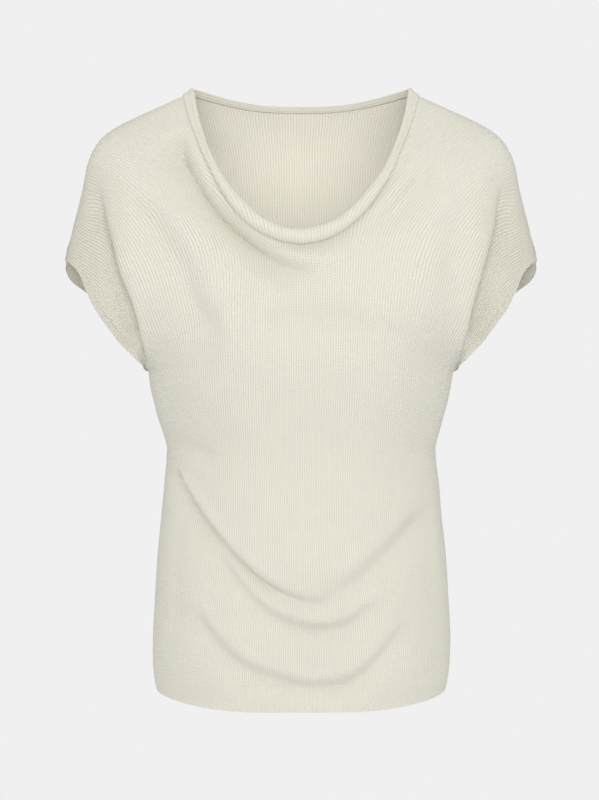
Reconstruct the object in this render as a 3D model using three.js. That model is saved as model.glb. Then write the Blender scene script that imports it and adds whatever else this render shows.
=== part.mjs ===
import * as THREE from "three";

// Cowl neck top in fine knit, standing open and filled out, in millimetres.
// +Z is up, the front faces -Y, and +X is on the right of someone looking at the front.
// The origin lies midway between the two neck points, on the shoulder line.
// "out" is a distance from the middle, "drop" a distance below the shoulder line,
// "forward" a distance ahead of the plane of the side seams, and "back" one behind it.

// Driving sizes.
const LENGTH = 634; // shoulder line to hem
const UNDERARM_DROP = 297;
const WALL = 1.6; // thickness of the knit
const SEAM_GAP = 0.3; // space left between two pieces that are sewn together
const HEM_RIB_HEIGHT = 27;
const RIB_TOP_DROP = LENGTH - HEM_RIB_HEIGHT;
const HEM_RIB_PITCH = 3.8; // from one rib to the next, round the hem
const HEM_RIB_RELIEF = 0.7; // how far a rib stands out
const CUFF_TURN_RELIEF = 0.8; // how far the turned edge of a sleeve opening stands out
const BACK_BAND_HEIGHT = 8;
const BACK_BAND_THICKNESS = 2.6;
const BACK_BAND_GAP = 0.45; // a little over the seam gap, because the edge twists
const SHOULDER_TURN = 82; // depth over which the cloth rounds off below the shoulder seam
const CUFF_TURN_IN = 70; // the same, at the tip of the sleeve
const SIDE_TURN = 108; // width over which the cloth rounds off beside the side seam

// Turn of the neck roll about its own middle, from its foot below to its edge inside.
const ROLL_START = (160 * Math.PI) / 180;
const ROLL_END = (-110 * Math.PI) / 180;

// Near the shoulder the neck finish stands up off the cloth by this angle. It starts to, and does
// so in full, at these shares of the width of the neck, counted from the middle.
const NECK_LIFT = (13 * Math.PI) / 180;
const LIFT_FROM = 0.36;
const LIFT_TO = 0.5;

// How closely the columns stand towards the shoulder.
const NECK_CROWDING = 1.3;

// How fast the bow of a panel's side edges dies out towards the middle.
const BOW_FADE = 2;

// Folds start to show where a panel has rounded off to the first of these shares of its depth,
// and show in full at the second.
const FOLDS_FROM = 0.15;
const FOLDS_TO = 0.75;

// Distance over which the slope of a panel is measured, either way.
const SLOPE_REACH = 2;

// How many straight pieces stand in for a curve where a distance or a length is measured.
const SEAM_SAMPLES = 40;
const FOLD_SAMPLES = 24;
const HEM_SAMPLES = 240;

// Finish of the knit.
const KNIT_ROUGHNESS = 0.92;
const FRONT_COLOUR = 0xe1dcd0;
const BACK_COLOUR = 0xe3e1d4;
const BAND_COLOUR = 0xdcd8c8;
const RIB_COLOUR = 0xdddcd3;

// How many cells each panel has along each part of its edge.
const FRONT_CELLS = { yoke: 8, neck: 32, arm: 10, sleeve: 7, side: 25, roll: 9 };
const BACK_CELLS = { yoke: 4, neck: 24, arm: 8, sleeve: 6, side: 17 };

// Shoulder seam, from the neck to the tip of the sleeve.
const SHOULDER_SEAM = [
  { out: 119, drop: 10 },
  { out: 155, drop: 26 },
  { out: 189, drop: 42 },
  { out: 206, drop: 54 },
  { out: 216, drop: 67.5 },
  { out: 222, drop: 83 },
  { out: 227, drop: 108 },
  { out: 235, drop: 139 },
  { out: 241, drop: 163 },
  { out: 244.5, drop: 180 },
];

// Sleeve opening, from its tip to the underarm, on the front panel and on the back panel.
const FRONT_CUFF = [
  { out: 244.5, drop: 180 },
  { out: 234, drop: 187 },
  { out: 227, drop: 196 },
  { out: 222, drop: 207 },
  { out: 211, drop: 228 },
  { out: 198.5, drop: 247 },
  { out: 186.5, drop: 265 },
  { out: 170, drop: 282 },
  { out: 163, drop: 289 },
  { out: 159.5, drop: UNDERARM_DROP },
];
const BACK_CUFF = [
  { out: 244.5, drop: 180 },
  { out: 248, drop: 190 },
  { out: 244.5, drop: 202 },
  { out: 233, drop: 213 },
  { out: 222, drop: 223 },
  { out: 211, drop: 236 },
  { out: 199, drop: 254 },
  { out: 186, drop: 271 },
  { out: 171, drop: 285 },
  { out: 159.5, drop: UNDERARM_DROP },
];

// Side seam, from the underarm to the hem, on the two sides as the front is looked at.
const SIDE_SEAM = [
  { drop: UNDERARM_DROP, left: 159.5, right: 159.5 },
  { drop: 315, left: 157.5, right: 156.5 },
  { drop: 330, left: 154, right: 153.5 },
  { drop: 345, left: 150.5, right: 149.5 },
  { drop: 360, left: 145.5, right: 145.5 },
  { drop: 376, left: 141, right: 141.5 },
  { drop: 391, left: 141.5, right: 142 },
  { drop: 418, left: 144, right: 145.5 },
  { drop: 448, left: 147, right: 148 },
  { drop: 492, left: 151.5, right: 153 },
  { drop: 536, left: 154.5, right: 156 },
  { drop: 581, left: 157, right: 158.5 },
  { drop: 610, left: 157, right: 157.5 },
  { drop: 625, left: 155.5, right: 155.5 },
  { drop: LENGTH, left: 153.5, right: 153.5 },
];

// Foot of the rolled front neck edge, from the shoulder to the middle, the height of the roll, and
// how round it is: 1 is as thick as high.
const FRONT_NECK = [
  { out: 119, drop: 10, roll: 12, round: 0.6 },
  { out: 113.5, drop: 30, roll: 10, round: 0.7 },
  { out: 105, drop: 54, roll: 8.5, round: 0.8 },
  { out: 94, drop: 79, roll: 8.5, round: 0.9 },
  { out: 81, drop: 103, roll: 10.5, round: 1 },
  { out: 65, drop: 125, roll: 13, round: 1 },
  { out: 44, drop: 144, roll: 14.5, round: 1 },
  { out: 22, drop: 155.5, roll: 15, round: 1 },
  { out: 0, drop: 159.5, roll: 15, round: 1 },
];

// Foot of the back neck band, from the shoulder to the middle.
const BACK_NECK = [
  { out: 119, drop: 10 },
  { out: 93, drop: 16.5 },
  { out: 64, drop: 22.5 },
  { out: 35, drop: 26 },
  { out: 0, drop: 27 },
];

// Line round the chest and round the back where each panel's yoke ends, and the line where the
// sleeve grows out of the body, from the shoulder to the underarm. No seam lies on any of them,
// and all three start at the corner that they share on the shoulder seam.
const YOKE_SHARE = 0.34; // share of the shoulder seam that the yoke takes up
const FRONT_YOKE = [
  { out: 163, drop: 95 },
  { out: 134, drop: 145 },
  { out: 100, drop: 183 },
  { out: 57, drop: 208 },
  { out: 0, drop: 217 },
];
const BACK_YOKE = [
  { out: 142, drop: 62 },
  { out: 84, drop: 78 },
  { out: 0, drop: 86 },
];
const ARMHOLE = [
  { out: 198, drop: 105 },
  { out: 195, drop: 165 },
  { out: 178, drop: 230 },
  { out: 159.5, drop: UNDERARM_DROP },
];

// How far the front stands ahead of the side seams, at five distances from the middle.
const FRONT_DEPTH = [
  { drop: 0, at0: 8, at60: 12, at120: 20, at180: 26, at230: 30 },
  { drop: 50, at0: 40, at60: 41, at120: 44, at180: 46, at230: 44 },
  { drop: 90, at0: 68, at60: 68, at120: 64, at180: 57, at230: 50 },
  { drop: 130, at0: 93, at60: 92, at120: 82, at180: 63, at230: 52 },
  { drop: 165, at0: 108, at60: 106, at120: 94, at180: 67, at230: 50 },
  { drop: 210, at0: 118, at60: 117, at120: 102, at180: 68, at230: 47 },
  { drop: 250, at0: 122, at60: 121, at120: 106, at180: 68, at230: 46 },
  { drop: 300, at0: 118, at60: 116, at120: 103, at180: 70, at230: 46 },
  { drop: 376, at0: 108, at60: 105, at120: 94, at180: 72, at230: 50 },
  { drop: 440, at0: 113, at60: 108, at120: 95, at180: 76, at230: 56 },
  { drop: 490, at0: 121, at60: 113, at120: 97, at180: 78, at230: 60 },
  { drop: 560, at0: 117, at60: 112, at120: 100, at180: 80, at230: 64 },
  { drop: LENGTH, at0: 113, at60: 110, at120: 101, at180: 82, at230: 66 },
];

// The same for the back.
const BACK_DEPTH = [
  { drop: 0, at0: 38, at60: 37, at120: 34, at180: 30, at230: 30 },
  { drop: 30, at0: 62, at60: 58, at120: 50, at180: 44, at230: 40 },
  { drop: 70, at0: 86, at60: 80, at120: 66, at180: 54, at230: 48 },
  { drop: 120, at0: 103, at60: 97, at120: 81, at180: 62, at230: 50 },
  { drop: 180, at0: 109, at60: 105, at120: 91, at180: 66, at230: 50 },
  { drop: 240, at0: 103, at60: 101, at120: 91, at180: 66, at230: 48 },
  { drop: 300, at0: 91, at60: 90, at120: 85, at180: 66, at230: 46 },
  { drop: 376, at0: 77, at60: 77, at120: 74, at180: 62, at230: 48 },
  { drop: 440, at0: 86, at60: 85, at120: 79, at180: 66, at230: 52 },
  { drop: 520, at0: 100, at60: 98, at120: 89, at180: 72, at230: 58 },
  { drop: LENGTH, at0: 106, at60: 104, at120: 95, at180: 78, at230: 62 },
];
const DEPTH_COLUMNS = [
  { key: "at0", out: 0 },
  { key: "at60", out: 60 },
  { key: "at120", out: 120 },
  { key: "at180", out: 180 },
  { key: "at230", out: 230 },
];

// The largest folds. Each runs along a path of [x, drop] points on the panel. "depth" is how far
// its floor sinks, or stands out where it is negative. "above" and "below" are its half-widths on
// the two sides of the path, the first being the side nearer the neck. "start" and "end" are the
// shares of the path over which it fades in and out.
const FRONT_FOLDS = [
  {
    name: "trough below the neck roll",
    path: [[-104, 58], [-82, 112], [-52, 148], [0, 168], [52, 150], [84, 122]],
    depth: 4, above: 9, below: 9, start: 0.3, end: 0.3,
  },
  {
    name: "second cowl fold, left",
    path: [[-131, 36], [-111, 87], [-85, 131], [-47, 162], [-7, 186], [32, 190]],
    depth: 8, above: 9, below: 20, start: 0.2, end: 0.45,
  },
  {
    name: "second cowl fold, right",
    path: [[133, 70], [115, 98], [97, 128], [69, 155]],
    depth: 4, above: 10, below: 18, start: 0.3, end: 0.5,
  },
  {
    name: "drag from the left shoulder",
    path: [[-194, 92], [-168, 137], [-142, 176], [-121, 211], [-101, 245], [-78, 259]],
    depth: 5, above: 16, below: 20, start: 0.4, end: 0.3,
  },
  {
    name: "drag from the right shoulder",
    path: [[186, 96], [165, 140], [146, 180], [132, 216], [122, 246]],
    depth: 3.5, above: 16, below: 20, start: 0.4, end: 0.4,
  },
  {
    name: "hollow under the bust",
    path: [[-52, 226], [0, 233], [60, 246], [100, 251], [124, 244]],
    depth: 3.5, above: 22, below: 26, start: 0.35, end: 0.35,
  },
  {
    name: "left armpit crease",
    path: [[-213, 103], [-201, 160], [-181, 227], [-165, 277], [-157, 300]],
    depth: 9, above: 9, below: 22, start: 0.4, end: 0.12,
  },
  {
    name: "right armpit crease",
    path: [[209, 108], [197, 175], [179, 237], [165, 280], [157, 300]],
    depth: 9, above: 9, below: 22, start: 0.4, end: 0.12,
  },
  {
    name: "hollow of the left flank",
    path: [[-104, 296], [-112, 342], [-100, 386]],
    depth: 4, above: 22, below: 22, start: 0.4, end: 0.4,
  },
  {
    name: "main drape, falling from the waist",
    path: [[-134, 392], [-110, 428], [-85, 462], [-45, 505], [0, 524], [45, 511], [90, 480], [132, 430]],
    depth: 7, above: 9, below: 20, start: 0.18, end: 0.35,
  },
  {
    name: "second drape",
    path: [[-88, 496], [-58, 533], [-18, 557], [30, 559], [66, 546], [94, 518]],
    depth: 4.5, above: 11, below: 16, start: 0.25, end: 0.3,
  },
  {
    name: "third drape, above the rib",
    path: [[-118, 520], [-95, 562], [-62, 588], [-10, 602], [45, 600], [86, 584], [118, 540]],
    depth: 3.5, above: 13, below: 13, start: 0.25, end: 0.3,
  },
];
const BACK_FOLDS = [
  {
    name: "left shoulder blade drag",
    path: [[-196, 98], [-160, 150], [-118, 196], [-78, 222]],
    depth: 5, above: 16, below: 22, start: 0.35, end: 0.4,
  },
  {
    name: "right shoulder blade drag",
    path: [[201, 112], [168, 172], [140, 214], [104, 250]],
    depth: 4, above: 16, below: 22, start: 0.35, end: 0.4,
  },
  {
    name: "left armpit crease, behind",
    path: [[-210, 118], [-194, 190], [-172, 254], [-159, 296]],
    depth: 7, above: 11, below: 22, start: 0.4, end: 0.15,
  },
  {
    name: "right armpit crease, behind",
    path: [[212, 122], [196, 188], [174, 250], [159, 296]],
    depth: 7, above: 11, below: 22, start: 0.4, end: 0.15,
  },
  {
    name: "hollow of the back waist",
    path: [[-112, 352], [-40, 382], [38, 378], [108, 346]],
    depth: 5, above: 24, below: 16, start: 0.35, end: 0.35,
  },
  {
    name: "slack above the back hem",
    path: [[-110, 452], [-52, 500], [14, 512], [72, 486]],
    depth: 4, above: 14, below: 22, start: 0.35, end: 0.4,
  },
];

// Slope of a smooth curve at each knot of a table.
function slopesAt(knots, values) {
  return values.map((value, i) => {
    const before = Math.max(i - 1, 0);
    const after = Math.min(i + 1, values.length - 1);
    return (values[after] - values[before]) / (knots[after] - knots[before]);
  });
}

// Value of a smooth curve between the knots of a table. It stays level past either end.
function between(knots, values, slopes, at) {
  const last = knots.length - 1;
  if (at <= knots[0]) return values[0];
  if (at >= knots[last]) return values[last];
  let i = 0;
  while (at > knots[i + 1]) i += 1;
  const span = knots[i + 1] - knots[i];
  const t = (at - knots[i]) / span;
  const rise = t * t * (3 - 2 * t);
  const leave = t * (1 - t) * (1 - t) * span;
  const arrive = t * t * (t - 1) * span;
  return values[i] * (1 - rise) + values[i + 1] * rise + slopes[i] * leave + slopes[i + 1] * arrive;
}

function smoothTable(knots, values) {
  const slopes = slopesAt(knots, values);
  return (at) => between(knots, values, slopes, at);
}

// Smooth path through [x, z] points, as a function of the share of its length.
function smoothPath(points) {
  const lengths = [0];
  for (let i = 1; i < points.length; i += 1) {
    const [x, z] = points[i];
    const [lastX, lastZ] = points[i - 1];
    lengths.push(lengths[i - 1] + Math.hypot(x - lastX, z - lastZ));
  }
  const total = lengths[lengths.length - 1];
  const alongX = smoothTable(lengths, points.map((point) => point[0]));
  const alongZ = smoothTable(lengths, points.map((point) => point[1]));
  const path = (share) => [alongX(share * total), alongZ(share * total)];
  path.total = total;
  return path;
}

function samplesOf(path, count) {
  return Array.from({ length: count + 1 }, (_, i) => path(i / count));
}

// Nearest place on a chain of points: its distance, its share of the length, and the side it is on.
function nearestOn(chain, x, z) {
  let best = { distance: Infinity, share: 0, side: 1 };
  const pieces = chain.length - 1;
  for (let i = 0; i < pieces; i += 1) {
    const [ax, az] = chain[i];
    const runX = chain[i + 1][0] - ax;
    const runZ = chain[i + 1][1] - az;
    const along = ((x - ax) * runX + (z - az) * runZ) / (runX * runX + runZ * runZ);
    const t = Math.min(Math.max(along, 0), 1);
    const offX = x - ax - runX * t;
    const offZ = z - az - runZ * t;
    const distance = Math.hypot(offX, offZ);
    if (distance < best.distance) {
      best = { distance, share: (i + t) / pieces, side: runX * offZ - runZ * offX >= 0 ? 1 : -1 };
    }
  }
  return best;
}

function smoothStep(from, to, at) {
  const t = Math.min(Math.max((at - from) / (to - from), 0), 1);
  return t * t * (3 - 2 * t);
}

// Quarter circle: nothing at the seam, full depth once the given distance away from it.
function roundOff(distance, turn) {
  const share = Math.min(distance / turn, 1);
  return Math.sqrt(share * (2 - share));
}

// Places of the rows of a table, on the +X side.
function placesOf(rows) {
  return rows.map((row) => [row.out, -row.drop]);
}

const shoulderPath = smoothPath(placesOf(SHOULDER_SEAM));
const shoulderChain = samplesOf(shoulderPath, SEAM_SAMPLES);

// Place of each side seam at a given drop.
const seamDrops = SIDE_SEAM.map((row) => row.drop);
const leftOut = smoothTable(seamDrops, SIDE_SEAM.map((row) => row.left));
const rightOut = smoothTable(seamDrops, SIDE_SEAM.map((row) => row.right));
const sideX = { left: (z) => -leftOut(-z), right: (z) => rightOut(-z) };

function sideChain(side, fromDrop, toDrop, count) {
  return Array.from({ length: count + 1 }, (_, i) => {
    const z = -fromDrop - ((toDrop - fromDrop) * i) / count;
    return [sideX[side](z), z];
  });
}

const sideChains = {
  left: sideChain("left", UNDERARM_DROP, LENGTH, SEAM_SAMPLES),
  right: sideChain("right", UNDERARM_DROP, LENGTH, SEAM_SAMPLES),
};

// Depth of a panel, from its table, before it is rounded off at its seams.
function depthField(rows) {
  const drops = rows.map((row) => row.drop);
  const columns = DEPTH_COLUMNS.map(({ key }) => smoothTable(drops, rows.map((row) => row[key])));
  const outs = DEPTH_COLUMNS.map(({ out }) => out);
  return (x, z) => {
    const values = columns.map((column) => column(-z));
    const slopes = slopesAt(outs, values);
    slopes[0] = 0;
    return between(outs, values, slopes, Math.abs(x));
  };
}

// Share of the full depth at a place: nothing on the shoulder and side seams.
function seamShare(x, z) {
  const shoulder = nearestOn(shoulderChain, Math.abs(x), z);
  const side = nearestOn(x < 0 ? sideChains.left : sideChains.right, x, z);
  const turn = SHOULDER_TURN + (CUFF_TURN_IN - SHOULDER_TURN) * shoulder.share;
  return roundOff(shoulder.distance, turn) * roundOff(side.distance, SIDE_TURN);
}

function foldChains(folds) {
  return folds.map((fold) => {
    const path = smoothPath(fold.path.map(([x, drop]) => [x, -drop]));
    const chain = samplesOf(path, FOLD_SAMPLES);
    const [headX] = chain[0];
    const [tailX] = chain[FOLD_SAMPLES];
    // The neck lies on the left of a path that runs towards +X, and on the right of the others.
    return { ...fold, chain, neckSide: tailX >= headX ? 1 : -1 };
  });
}

// Height of the folds at a place, outwards.
function foldHeight(chains, x, z) {
  let height = 0;
  for (const fold of chains) {
    const near = nearestOn(fold.chain, x, z);
    const width = near.side === fold.neckSide ? fold.above : fold.below;
    const across = Math.exp(-((near.distance / width) ** 2));
    const fade = smoothStep(0, fold.start, near.share) * smoothStep(0, fold.end, 1 - near.share);
    height -= fold.depth * across * fade;
  }
  return height;
}

// One side of the garment: "facing" is -1 for the front and 1 for the back.
function panelSurface(facing, rows, folds) {
  const depth = depthField(rows);
  const chains = foldChains(folds);
  const plain = (x, z) => depth(x, z) * seamShare(x, z);
  return (x, z) => {
    const share = seamShare(x, z);
    const reach = plain(x, z);
    const slopeX = (plain(x + SLOPE_REACH, z) - plain(x - SLOPE_REACH, z)) / (2 * SLOPE_REACH);
    const slopeZ = (plain(x, z + SLOPE_REACH) - plain(x, z - SLOPE_REACH)) / (2 * SLOPE_REACH);
    const normal = new THREE.Vector3(-slopeX, facing, -slopeZ).normalize();
    const height = foldHeight(chains, x, z) * smoothStep(FOLDS_FROM, FOLDS_TO, share);
    return new THREE.Vector3(x, facing * (reach + SEAM_GAP / 2), z).addScaledVector(normal, height);
  };
}

// Grid of [x, z] places between four edges: rows run from the left edge to the right one. With a
// larger "fade" the bow of a side edge is followed less and less away from it.
function blendedGrid({ top, bottom, left, right, columnShare, rowShare, fade }) {
  const last = top.length - 1;
  const blend = (i, j, axis) => {
    const a = columnShare[i];
    const b = rowShare[j];
    const straight = (column) => (1 - b) * top[column][axis] + b * bottom[column][axis];
    const leftBow = left[j][axis] - straight(0);
    const rightBow = right[j][axis] - straight(last);
    return straight(i) + leftBow * (1 - a) ** fade + rightBow * a ** fade;
  };
  return left.map((_, j) => top.map((_, i) => [blend(i, j, 0), blend(i, j, 1)]));
}

// Shares from 0 to 1, evenly spaced, or standing closer at both ends.
function evenShares(count) {
  return Array.from({ length: count + 1 }, (_, i) => i / count);
}

function roundShares(count) {
  return evenShares(count).map((share) => (1 - Math.cos(Math.PI * share)) / 2);
}

function flipped([x, z]) {
  return [-x, z];
}

// Both halves of a U-shaped edge, from the left shoulder to the right one.
function wholeEdge(halfPath, cells) {
  return Array.from({ length: cells + 1 }, (_, i) => {
    const fromMiddle = Math.abs((2 * i) / cells - 1);
    const [out, z] = halfPath((1 - fromMiddle) ** NECK_CROWDING);
    return [Math.sign(2 * i - cells) * out, z];
  });
}

// A panel's places in four grids that share edges: the yoke, from the neck edge down to a line
// round the chest; the body, from there down to the rib; and the two sleeves, which meet the body
// along a line from the shoulder to the underarm. "edges" lists the places on each kind of edge.
function panelGrids(cells, rows) {
  const shoulder = evenShares(cells.yoke).map((share) => flipped(shoulderPath(YOKE_SHARE * share)));
  const [corner] = shoulder.slice(-1);
  const neck = wholeEdge(smoothPath(placesOf(rows.neck)), cells.neck);
  const chest = wholeEdge(smoothPath([flipped(corner), ...placesOf(rows.yoke)]), cells.neck);
  const yoke = blendedGrid({
    top: neck,
    bottom: chest,
    left: shoulder,
    right: shoulder.map(flipped),
    columnShare: evenShares(cells.neck),
    rowShare: evenShares(cells.yoke),
    fade: 1,
  });

  const armRows = roundShares(cells.arm);
  const armhole = armRows.map(smoothPath([flipped(corner), ...placesOf(ARMHOLE)])).map(flipped);
  const leftSide = sideChain("left", UNDERARM_DROP, RIB_TOP_DROP, cells.side);
  const rightSide = sideChain("right", UNDERARM_DROP, RIB_TOP_DROP, cells.side);
  const left = [...armhole.slice(0, -1), ...leftSide];
  const right = [...armhole.map(flipped).slice(0, -1), ...rightSide];
  const [leftFoot] = left.slice(-1);
  const [rightFoot] = right.slice(-1);
  const columnShare = roundShares(cells.neck);
  const rib = columnShare.map((share) => [
    leftFoot[0] + (rightFoot[0] - leftFoot[0]) * share,
    leftFoot[1],
  ]);
  const body = blendedGrid({
    top: chest,
    bottom: rib,
    left,
    right,
    columnShare,
    rowShare: left.map(([, z]) => (z - corner[1]) / (leftFoot[1] - corner[1])),
    fade: BOW_FADE,
  });

  const cuff = armRows.map(smoothPath(placesOf(rows.cuff))).map(flipped);
  const overarm = evenShares(cells.sleeve).map((share) =>
    flipped(shoulderPath(1 - (1 - YOKE_SHARE) * share)),
  );
  const leftSleeve = blendedGrid({
    top: overarm,
    bottom: overarm.map(() => leftSide[0]),
    left: cuff,
    right: armhole,
    columnShare: evenShares(cells.sleeve),
    rowShare: armRows,
    fade: 1,
  });
  const rightSleeve = leftSleeve.map((row) => row.map(flipped).reverse());
  const bothSides = (places) => [...places, ...places.map(flipped)];
  return {
    grids: [yoke, body, leftSleeve, rightSleeve],
    edges: {
      seam: [...bothSides([...shoulder, ...overarm]), ...leftSide, ...rightSide],
      cuff: bothSides(cuff.slice(1, -1)),
      rib,
    },
  };
}

// Closed wall of cloth: cells of outer points, with the same cells one wall thickness inside.
// A raised point stands out from the wall, and the inside stays plain beneath it.
class ClothWall {
  constructor() {
    this.points = [];
    this.traits = [];
    this.cells = [];
  }

  // "square" names the axes of the planes that the edge of the wall is cut square to.
  add(point, { thickness = WALL, raised = 0, square = [] } = {}) {
    this.points.push(point);
    this.traits.push({ thickness, raised, square });
    return this.points.length - 1;
  }

  cell(a, b, c, d) {
    this.cells.push([a, b, c, d]);
  }

  // Normals of the points. On a seam they lie in the plane of the seam.
  normals() {
    const normals = this.points.map(() => new THREE.Vector3());
    for (const [a, b, c, d] of this.cells) {
      const first = this.points[c].clone().sub(this.points[a]);
      const second = this.points[d].clone().sub(this.points[b]);
      const normal = first.cross(second);
      for (const corner of [a, b, c, d]) normals[corner].add(normal);
    }
    normals.forEach((normal, i) => {
      for (const axis of this.traits[i].square) normal[axis] = 0;
      normal.normalize();
    });
    return normals;
  }

  geometry() {
    const normals = this.normals();
    const count = this.points.length;
    const moved = (distanceOf) =>
      this.points.map((point, i) =>
        point.clone().addScaledVector(normals[i], distanceOf(this.traits[i])),
      );
    const outer = moved((trait) => trait.raised);
    const inner = moved((trait) => -trait.thickness);
    const faces = [];
    const edges = new Map();
    for (const [a, b, c, d] of this.cells) {
      const shorter = outer[a].distanceTo(outer[c]) <= outer[b].distanceTo(outer[d]);
      const halves = shorter ? [[a, b, c], [a, c, d]] : [[a, b, d], [b, c, d]];
      for (const [p, q, r] of halves) {
        if (p === q || q === r || r === p) continue; // a cell at the underarm has three corners
        faces.push(p, q, r);
        faces.push(p + count, r + count, q + count);
      }
      for (const [p, q] of [[a, b], [b, c], [c, d], [d, a]]) {
        if (p !== q) edges.set(p + "," + q, [p, q]);
      }
    }
    for (const [p, q] of edges.values()) {
      if (edges.has(q + "," + p)) continue;
      faces.push(q, p, p + count);
      faces.push(q, p + count, q + count);
    }
    const positions = [...outer, ...inner].flatMap((point) => point.toArray());
    const geometry = new THREE.BufferGeometry();
    geometry.setAttribute("position", new THREE.Float32BufferAttribute(positions, 3));
    geometry.setIndex(faces);
    return geometry;
  }
}

// Frame at each point of a neck edge: up along the cloth, out of it, and "rise", the direction in
// which the finish of the edge stands. Near the shoulder that tips outwards.
function edgeFrames(wall, row) {
  const normals = wall.normals();
  const points = row.map((i) => wall.points[i]);
  const last = points.length - 1;
  return points.map((point, i) => {
    const before = points[Math.max(i - 1, 0)];
    const after = points[Math.min(i + 1, last)];
    const along = after.clone().sub(before);
    if (i === 0 || i === last) along.set(0, along.y, 0);
    along.normalize();
    const outwards = normals[row[i]];
    const upwards = outwards.clone().cross(along).normalize();
    if (upwards.z < 0) upwards.negate();
    const fromMiddle = Math.abs(point.x) / points[0].distanceTo(points[last]);
    const lift = NECK_LIFT * smoothStep(LIFT_FROM, LIFT_TO, fromMiddle);
    const rise = turned(upwards, outwards, lift);
    const face = turned(outwards, upwards, -lift);
    return { point, outwards, upwards, rise, face };
  });
}

// A direction turned by an angle towards another one that is square to it.
function turned(direction, towards, angle) {
  return direction.clone().multiplyScalar(Math.cos(angle)).addScaledVector(towards, Math.sin(angle));
}

function framePoint({ point, rise, face }, up, out) {
  return point.clone().addScaledVector(rise, up).addScaledVector(face, out);
}

// A panel as a wall, with its turned sleeve edges raised. "facing" is -1 for the front.
function panelWall(facing, surface, cells, rows) {
  const { grids, edges } = panelGrids(cells, rows);
  const keyOf = ([x, z]) => x.toFixed(3) + " " + z.toFixed(3);
  const keysOf = (places) => new Set(places.map(keyOf));
  const onSeam = keysOf(edges.seam);
  const onCuff = keysOf(edges.cuff);
  const onRib = keysOf(edges.rib);
  const wall = new ClothWall();
  const known = new Map();
  const pointAt = (place) => {
    const key = keyOf(place);
    if (!known.has(key)) {
      const point = surface(...place);
      if (onSeam.has(key)) point.y = (facing * SEAM_GAP) / 2;
      const square = [...(onSeam.has(key) ? ["y"] : []), ...(onRib.has(key) ? ["z"] : [])];
      known.set(key, wall.add(point, { square, raised: onCuff.has(key) ? CUFF_TURN_RELIEF : 0 }));
    }
    return known.get(key);
  };
  const indexed = grids.map((grid) => grid.map((row) => row.map(pointAt)));
  for (const grid of indexed) {
    for (let j = 0; j + 1 < grid.length; j += 1) {
      for (let i = 0; i + 1 < grid[j].length; i += 1) {
        const corners = [grid[j][i], grid[j + 1][i], grid[j + 1][i + 1], grid[j][i + 1]];
        if (facing > 0) corners.reverse();
        wall.cell(...corners);
      }
    }
  }
  return { wall, neckRow: indexed[0][0] };
}

// The neck edge of the front rolls outwards over itself and back down inside.
function addNeckRoll(wall, neckRow, cells) {
  const frames = edgeFrames(wall, neckRow);
  const drops = FRONT_NECK.map((row) => row.drop);
  const rollAt = smoothTable(drops, FRONT_NECK.map((row) => row.roll));
  const roundAt = smoothTable(drops, FRONT_NECK.map((row) => row.round));
  let lower = neckRow;
  for (let k = 1; k <= cells.roll; k += 1) {
    const angle = ROLL_START + ((ROLL_END - ROLL_START) * k) / cells.roll;
    const upper = frames.map((frame, i) => {
      const radius = rollAt(-frame.point.z) / 2;
      const up = radius * (Math.cos(angle) - Math.cos(ROLL_START));
      const thick = radius * roundAt(-frame.point.z);
      const out = thick * (Math.sin(angle) - Math.sin(ROLL_START));
      const square = i === 0 || i === cells.neck ? ["y"] : [];
      return wall.add(framePoint(frame, up, out), { square });
    });
    for (let i = 0; i < cells.neck; i += 1) {
      wall.cell(upper[i], lower[i], lower[i + 1], upper[i + 1]);
    }
    lower = upper;
  }
}

function named(name, geometry, color) {
  const material = new THREE.MeshStandardMaterial({ color, roughness: KNIT_ROUGHNESS, metalness: 0 });
  const mesh = new THREE.Mesh(geometry, material);
  mesh.name = name;
  return mesh;
}

// Band that finishes the back neck edge: a rounded strip standing on the edge of the panel.
function backBand(wall, neckRow) {
  const half = BACK_BAND_THICKNESS / 2;
  const middle = -WALL / 2;
  const section = [
    { up: half, out: middle - half },
    { up: BACK_BAND_HEIGHT - half, out: middle - half },
    { up: BACK_BAND_HEIGHT, out: middle },
    { up: BACK_BAND_HEIGHT - half, out: middle + half },
    { up: half, out: middle + half },
  ];
  const rings = edgeFrames(wall, neckRow).map((frame) => {
    const foot = (out) =>
      frame.point
        .clone()
        .addScaledVector(frame.upwards, BACK_BAND_GAP)
        .addScaledVector(frame.outwards, out);
    return [foot(-WALL), ...section.map(({ up, out }) => framePoint(frame, up, out)), foot(0)];
  });
  const size = rings[0].length;
  const positions = rings.flat().flatMap((point) => point.toArray());
  const faces = [];
  for (let i = 0; i + 1 < rings.length; i += 1) {
    for (let k = 0; k < size; k += 1) {
      const next = (k + 1) % size;
      const here = i * size;
      const there = here + size;
      faces.push(here + k, there + k, there + next);
      faces.push(here + k, there + next, here + next);
    }
  }
  const end = (rings.length - 1) * size;
  for (let k = 1; k + 1 < size; k += 1) {
    faces.push(0, k, k + 1);
    faces.push(end, end + k + 1, end + k);
  }
  const geometry = new THREE.BufferGeometry();
  geometry.setAttribute("position", new THREE.Float32BufferAttribute(positions, 3));
  geometry.setIndex(faces);
  return geometry;
}

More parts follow.
